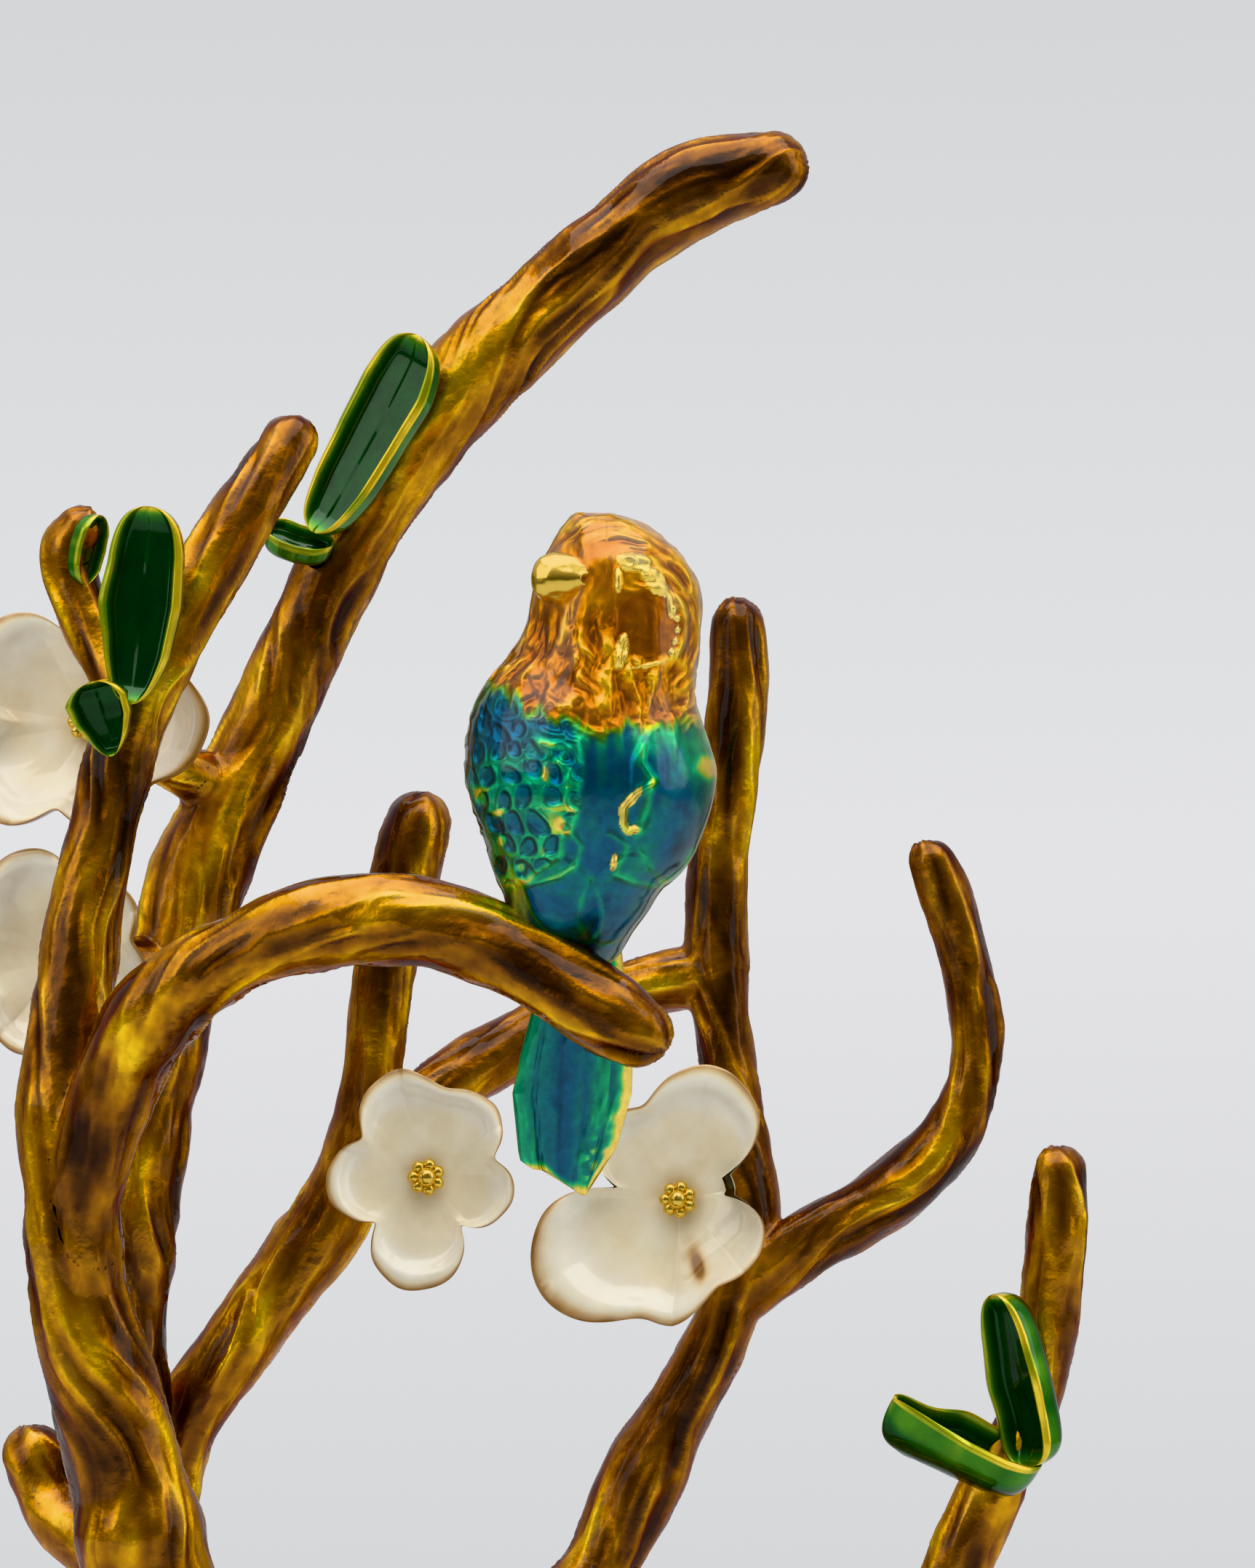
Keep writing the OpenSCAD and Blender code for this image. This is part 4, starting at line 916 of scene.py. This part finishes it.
# rims of both wings, thin enamel over a raised line
wing_rim = stroke([(14.2, 128.8), (16.0, 128.3), (15.4, 127.4), (16.1, 126.8), (15.95, 125.1), (16.5, 123.8),
    (16.1, 122.8),
    (16.85, 121.8), (16.5, 120.6), (15.4, 119.8), (13.3, 119.2)])
low_rim_r = stroke([(19.2, 119.9), (20.4, 119.4), (22.0, 119.1), (23.5, 120.1), (24.4, 121.6)])
for rim_line, thin in ((wing_rim, 0.42), (low_rim_r, 0.4)):
    height += front * 0.16 * bell(rim_line, 0.22)
    body_e -= front * thin * bell(rim_line, 0.26) * (0.7 + 0.6 * noise(v * 0.8, 136))
# crossed feather ends low on the belly
for cx, lean in ((15.6, 32), (19.4, -34)):
    end = oval(cx, 118.2, 2.3, 3.4, lean)
    height += front * 0.18 * smooth(1.05, 0.9, end)
    body_e -= front * 0.16 * ring(end, 0.07) * smooth(121, 118, z)
deeper = clouds(v / 3.1, 3, 138)
body_e += (0.2 * deeper + 0.07 * noise(v * 2.2, 139)) * (1 - 0.5 * pits)
body_e += 0.1 * smooth(119, 115.5, z) - 0.35 * smooth(116.2, 114.8, z) * smooth(18, 12, x)

# back and flanks behind: rows of soft feathers
back_rows = np.sin(z * 3.1 + 0.8 * np.cos(x * 2.4)) * np.cos(x * 2.4)
height += (1 - front) * body * 0.1 * back_rows * (1 - on_l)
body_e -= (1 - front) * body * 0.12 * smooth(0.2, 0.8, back_rows) * (1 - on_l)
height += 0.04 * noise(v / 0.9, 140)

tall = height.reshape(rows, cols)
for axis, count in ((0, 9 // fine), (1, 9 // fine)):
    tall = sum(np.roll(tall, k, axis) for k in range(-count, count + 1)) / (2 * count + 1)
glass = surface_normals(v + out * tall.reshape(-1, 1), skin_faces)
# the glassy skin fills most of the carving: the outline moves less than the reflections of the metal below
carved = surface_normals(v + out * height[:, None], skin_faces)
v = v + out * (0.3 * height[:, None] + 0.3 * tall.reshape(-1, 1))
AMBERS = [(0, "#FFDC6A"), (0.18, "#FFC62A"), (0.36, "#EBA010"), (0.55, "#C67A04"), (0.75, "#9A5402"),
    (1, "#6C3402")]
TEALS = [(0, "#FFDC6A"), (0.14, "#B4D23C"), (0.3, "#22C07C"), (0.48, "#089468"), (0.64, "#046E70"),
    (0.8, "#03587A"), (1, "#023A58")]
MIDDLES = [(0, "#FFD24A"), (0.3, "#D0C810"), (0.6, "#6A9A06"), (1, "#1E6A0A")]
warm = palette(np.clip(enam, 0, 1), AMBERS)
cool = palette(np.clip(body_e, 0, 1), TEALS)
between = palette(np.clip(enam, 0, 1), MIDDLES)
paint = mix(mix(warm, between, smooth(0.12, 0.5, body)), cool, smooth(0.42, 0.9, body))
NECK_Z = 131
neck_row = int(np.argmin(np.abs(z0[:, 0] - NECK_Z)))


def skin_part(name, first, last, nodes):
    """Rows of the skin as a closed piece; its flat ends lie inside the bird."""
    keep = slice(first * cols, (last + 1) * cols)
    n = last - first + 1
    q = [list(k) for k in grid_faces(n, cols)[:, ::-1]]
    q += [list(range(cols)), list(range((n - 1) * cols, n * cols))[::-1]]
    piece(name, v[keep], q, nodes, BIRD, paint[keep], carved[keep], glass[keep])


skin_part("bird_head", neck_row, rows - 1, ["bird_head_enamel"])
skin_part("bird_body", 0, neck_row, ["bird_body_enamel", "bird_wing_left", "bird_wing_right"])
print("bird skin", len(v), "points")

# %% [markdown]
# The beak is a polished dome of bare gilt that stands out of the face, with a nostril ring.

# %%
b = np.linspace(0, np.pi, 90)[:, None]
a = np.linspace(0, 2 * np.pi, 120, endpoint=False)[None, :]
bx, by, bz = -np.cos(b) + 0 * a, np.sin(b) * np.cos(a), np.sin(b) * np.sin(a)
swell = 1 + 0.07 * clouds(vec(bx * 1.6, by * 1.6, bz * 1.6), 2, 150)
taper = 1 - 0.16 * bx
dx, dz = bx * 2.45 * swell, bz * 1.75 * swell * taper
nostril = np.hypot(dx - 1.35, dz + 0.2)
push = np.where(by < 0, 1.9, 1.0) * swell
lean = math.radians(-3)
v = vec(15.85 + dx * math.cos(lean) + dz * math.sin(lean),
    -25.7 + by * push + 0.16 * bell(nostril, 0.28) * (by < 0) - 0.1 * ring(nostril, 0.12, 0.42) * (by < 0)
    + 0.24 * (dx + 2.0),
    140.05 + dz * math.cos(lean) - dx * math.sin(lean))
f = [list(q) for q in grid_faces(90, 120)]
piece("bird_gilt_beak", v.reshape(-1, 3), f, ["bird_casting"], GILT)

# %% [markdown]
# ## Tail
# One flat fan of feathers behind the perch: rows run from the rump to the ragged lower edge.

# %%
rows, cols = 150 // fine, 120 // fine
t = np.linspace(0, 1, rows)[:, None]
b = np.linspace(0, 2 * np.pi, cols, endpoint=False)[None, :]
across = np.sign(np.cos(b)) * np.abs(np.cos(b)) ** 0.75
share = (across + 1) / 2
bottom = np.interp(share, [0, 0.12, 0.3, 0.48, 0.56, 0.66, 0.78, 0.86, 1],
    [99.8, 99.2, 99.0, 98.2, 98.0, 97.5, 97.35, 98.6, 100.6])
z = 115.2 + (bottom - 115.2) * t
edge_l = np.interp(z, [98, 99.5, 100.4, 104.5, 107.8, 110.8, 113, 116],
    [13.2, 12.6, 12.4, 12.0, 12.7, 13.5, 13.6, 13.4])
edge_r = np.interp(z, [98, 100, 101.2, 104.5, 106.2, 110, 114.6, 116],
    [18.3, 19.0, 19.4, 20.3, 20.35, 20.1, 19.6, 19.3])
x = edge_l + (edge_r - edge_l) * share
lines = np.array([0.2, 0.38, 0.57, 0.78])
groove = sum(bell(share + 0.05 * np.sin(3 * t + 4 * g) - g, 0.022) for g in lines)
barbs = clouds(vec(share * 14, 0 * t, z * 0.35), 3, 160)
half = 0.95 * (1 - 0.45 * t) * (1 - 0.25 * smooth(0.9, 1, t))
face_h = 0.16 * np.sin(share * 2 * np.pi * 2.6 + 0.6 * t) + 0.13 * barbs - 0.3 * groove
y = -18.2 + 3.0 * t - np.sin(b) * half - face_h * np.where(np.sin(b) > 0, 1, -1) * np.abs(np.sin(b)) ** 0.5
v = vec(x, y, z).reshape(-1, 3)
hem = smooth(0.055, 0.0, (1 - t) + 0.02 * noise(vec(share * 9, 0, 0 * t), 161)) * smooth(0.02, 0.1, share)
gold_side = smooth(0.84, 0.97, share + 0.03 * noise(vec(0 * share, 5, z * 1.4), 162))
corner = smooth(1.25, 0.5, np.hypot((x - 18.6) / 1.9, (z - 99.3) / 2.6)) * smooth(0.1, 0.5,
    noise(vec(x * 2.1, 0, z * 2.1), 163))
middle = bell(share - 0.45, 0.2)
e = 0.56 + 0.28 * middle - 0.2 * smooth(0.0, 0.7, barbs) * (1 - 0.6 * middle)
e = e - 0.12 * smooth(0.14, 0.02, share) - 0.5 * corner - 0.75 * gold_side - 0.7 * hem + 0.12 * groove
paint = palette(np.clip(e, 0, 1) + 0 * b, TEALS).reshape(-1, 3)
f = closed(rows, cols)
piece("bird_tail_feathers", v, f, ["bird_tail"], BIRD, paint)
print("tail", len(v), "points")

# %% [markdown]
# ## Stage, light and camera
# A round sheet of pale paper under the piece and a plain pale room around it. A large soft light above and
# two wide ones at the sides draw soft highlights on the gilt and enamel. The camera looks level at the bird
# with a long lens.

# %%
PAPER = plain("pale paper", "#D6D8D9", 0.0, 0.9, (1.5, 0.15, 0.05))
PAPER_R, PAPER_SIDES = 0.55, 96
a = np.linspace(0, 2 * np.pi, PAPER_SIDES, endpoint=False)
mesh = bpy.data.meshes.new("paper")
mesh.from_pydata([(PAPER_R * math.cos(t), PAPER_R * math.sin(t), 0) for t in a], [],
    [list(range(PAPER_SIDES))])
mesh.materials.append(PAPER)
paper = bpy.data.objects.new("paper", mesh)
bpy.context.scene.collection.objects.link(paper)


def softbox(name, at, aim, size, power):
    """A rectangular lamp that faces the given point; size in metres, power in watts."""
    light = bpy.data.lights.new(name, "AREA")
    light.shape = "RECTANGLE"
    light.size, light.size_y = size
    light.energy = power
    ob = bpy.data.objects.new(name, light)
    ob.location = at
    ob.rotation_euler = (Vector(aim) - Vector(at)).to_track_quat("-Z", "Y").to_euler()
    bpy.context.scene.collection.objects.link(ob)


softbox("overhead", (0.0, -0.1, 0.6), (0, 0, 0.1), (0.7, 0.6), 2.6)
softbox("left window", (-0.5, -0.3, 0.38), (0, 0, 0.12), (0.5, 0.5), 1.0)
softbox("right strip", (0.5, -0.1, 0.3), (0, 0, 0.12), (0.3, 0.5), 0.6)
# the room: white above, dimmer towards the table and the camera
world = bpy.data.worlds.new("room")
world.use_nodes = True
direction = add(world, "ShaderNodeTexCoord").outputs["Generated"]
split = add(world, "ShaderNodeSeparateXYZ", Vector=direction)
slope = add(world, "ShaderNodeMath")
slope.operation = "MULTIPLY_ADD"
slope.inputs[1].default_value = 0.35
link(world, split.outputs["Y"], slope.inputs[0])
link(world, split.outputs["Z"], slope.inputs[2])
room = world.node_tree.nodes["Background"]
room.inputs["Color"].default_value = (0.98, 0.98, 0.97, 1)
link(world, remap(world, slope.outputs[0], -0.45, 0.8, 0.07, 0.75), room.inputs["Strength"])
# seen directly, the room is a pale wall, lightest at eye level
tone = add(world, "ShaderNodeValToRGB", Fac=remap(world, split.outputs["Z"], -0.14, 0.14, 0, 1))
stops = ((0, "#D9DADC"), (0.45, "#EAEAEC"), (0.62, "#E4E5E7"), (1, "#D8D9DB"))
for k, (at, colour) in enumerate(stops):
    stop = tone.color_ramp.elements[k] if k < 2 else tone.color_ramp.elements.new(at)
    stop.position, stop.color = at, (*tint(colour), 1)
wall = add(world, "ShaderNodeBackground", Color=tone.outputs[0])
seen = add(world, "ShaderNodeLightPath").outputs["Is Camera Ray"]
pick = add(world, "ShaderNodeMixShader", Fac=seen)
link(world, room.outputs[0], pick.inputs[1])
link(world, wall.outputs[0], pick.inputs[2])
link(world, pick.outputs[0], world.node_tree.nodes["World Output"].inputs["Surface"])
bpy.context.scene.world = world

bpy.context.scene.view_settings.view_transform = "Khronos PBR Neutral"

camera = bpy.data.cameras.new("camera")
camera.sensor_fit = "VERTICAL"
camera.sensor_height = 36
camera.sensor_width = 28.8
camera.lens = 150
camera.clip_start = 0.01
view = bpy.data.objects.new("camera", camera)
view.location = (0.020, -0.470, 0.126)
view.rotation_euler = (math.pi / 2, 0, 0)
bpy.context.scene.collection.objects.link(view)
bpy.context.scene.camera = view
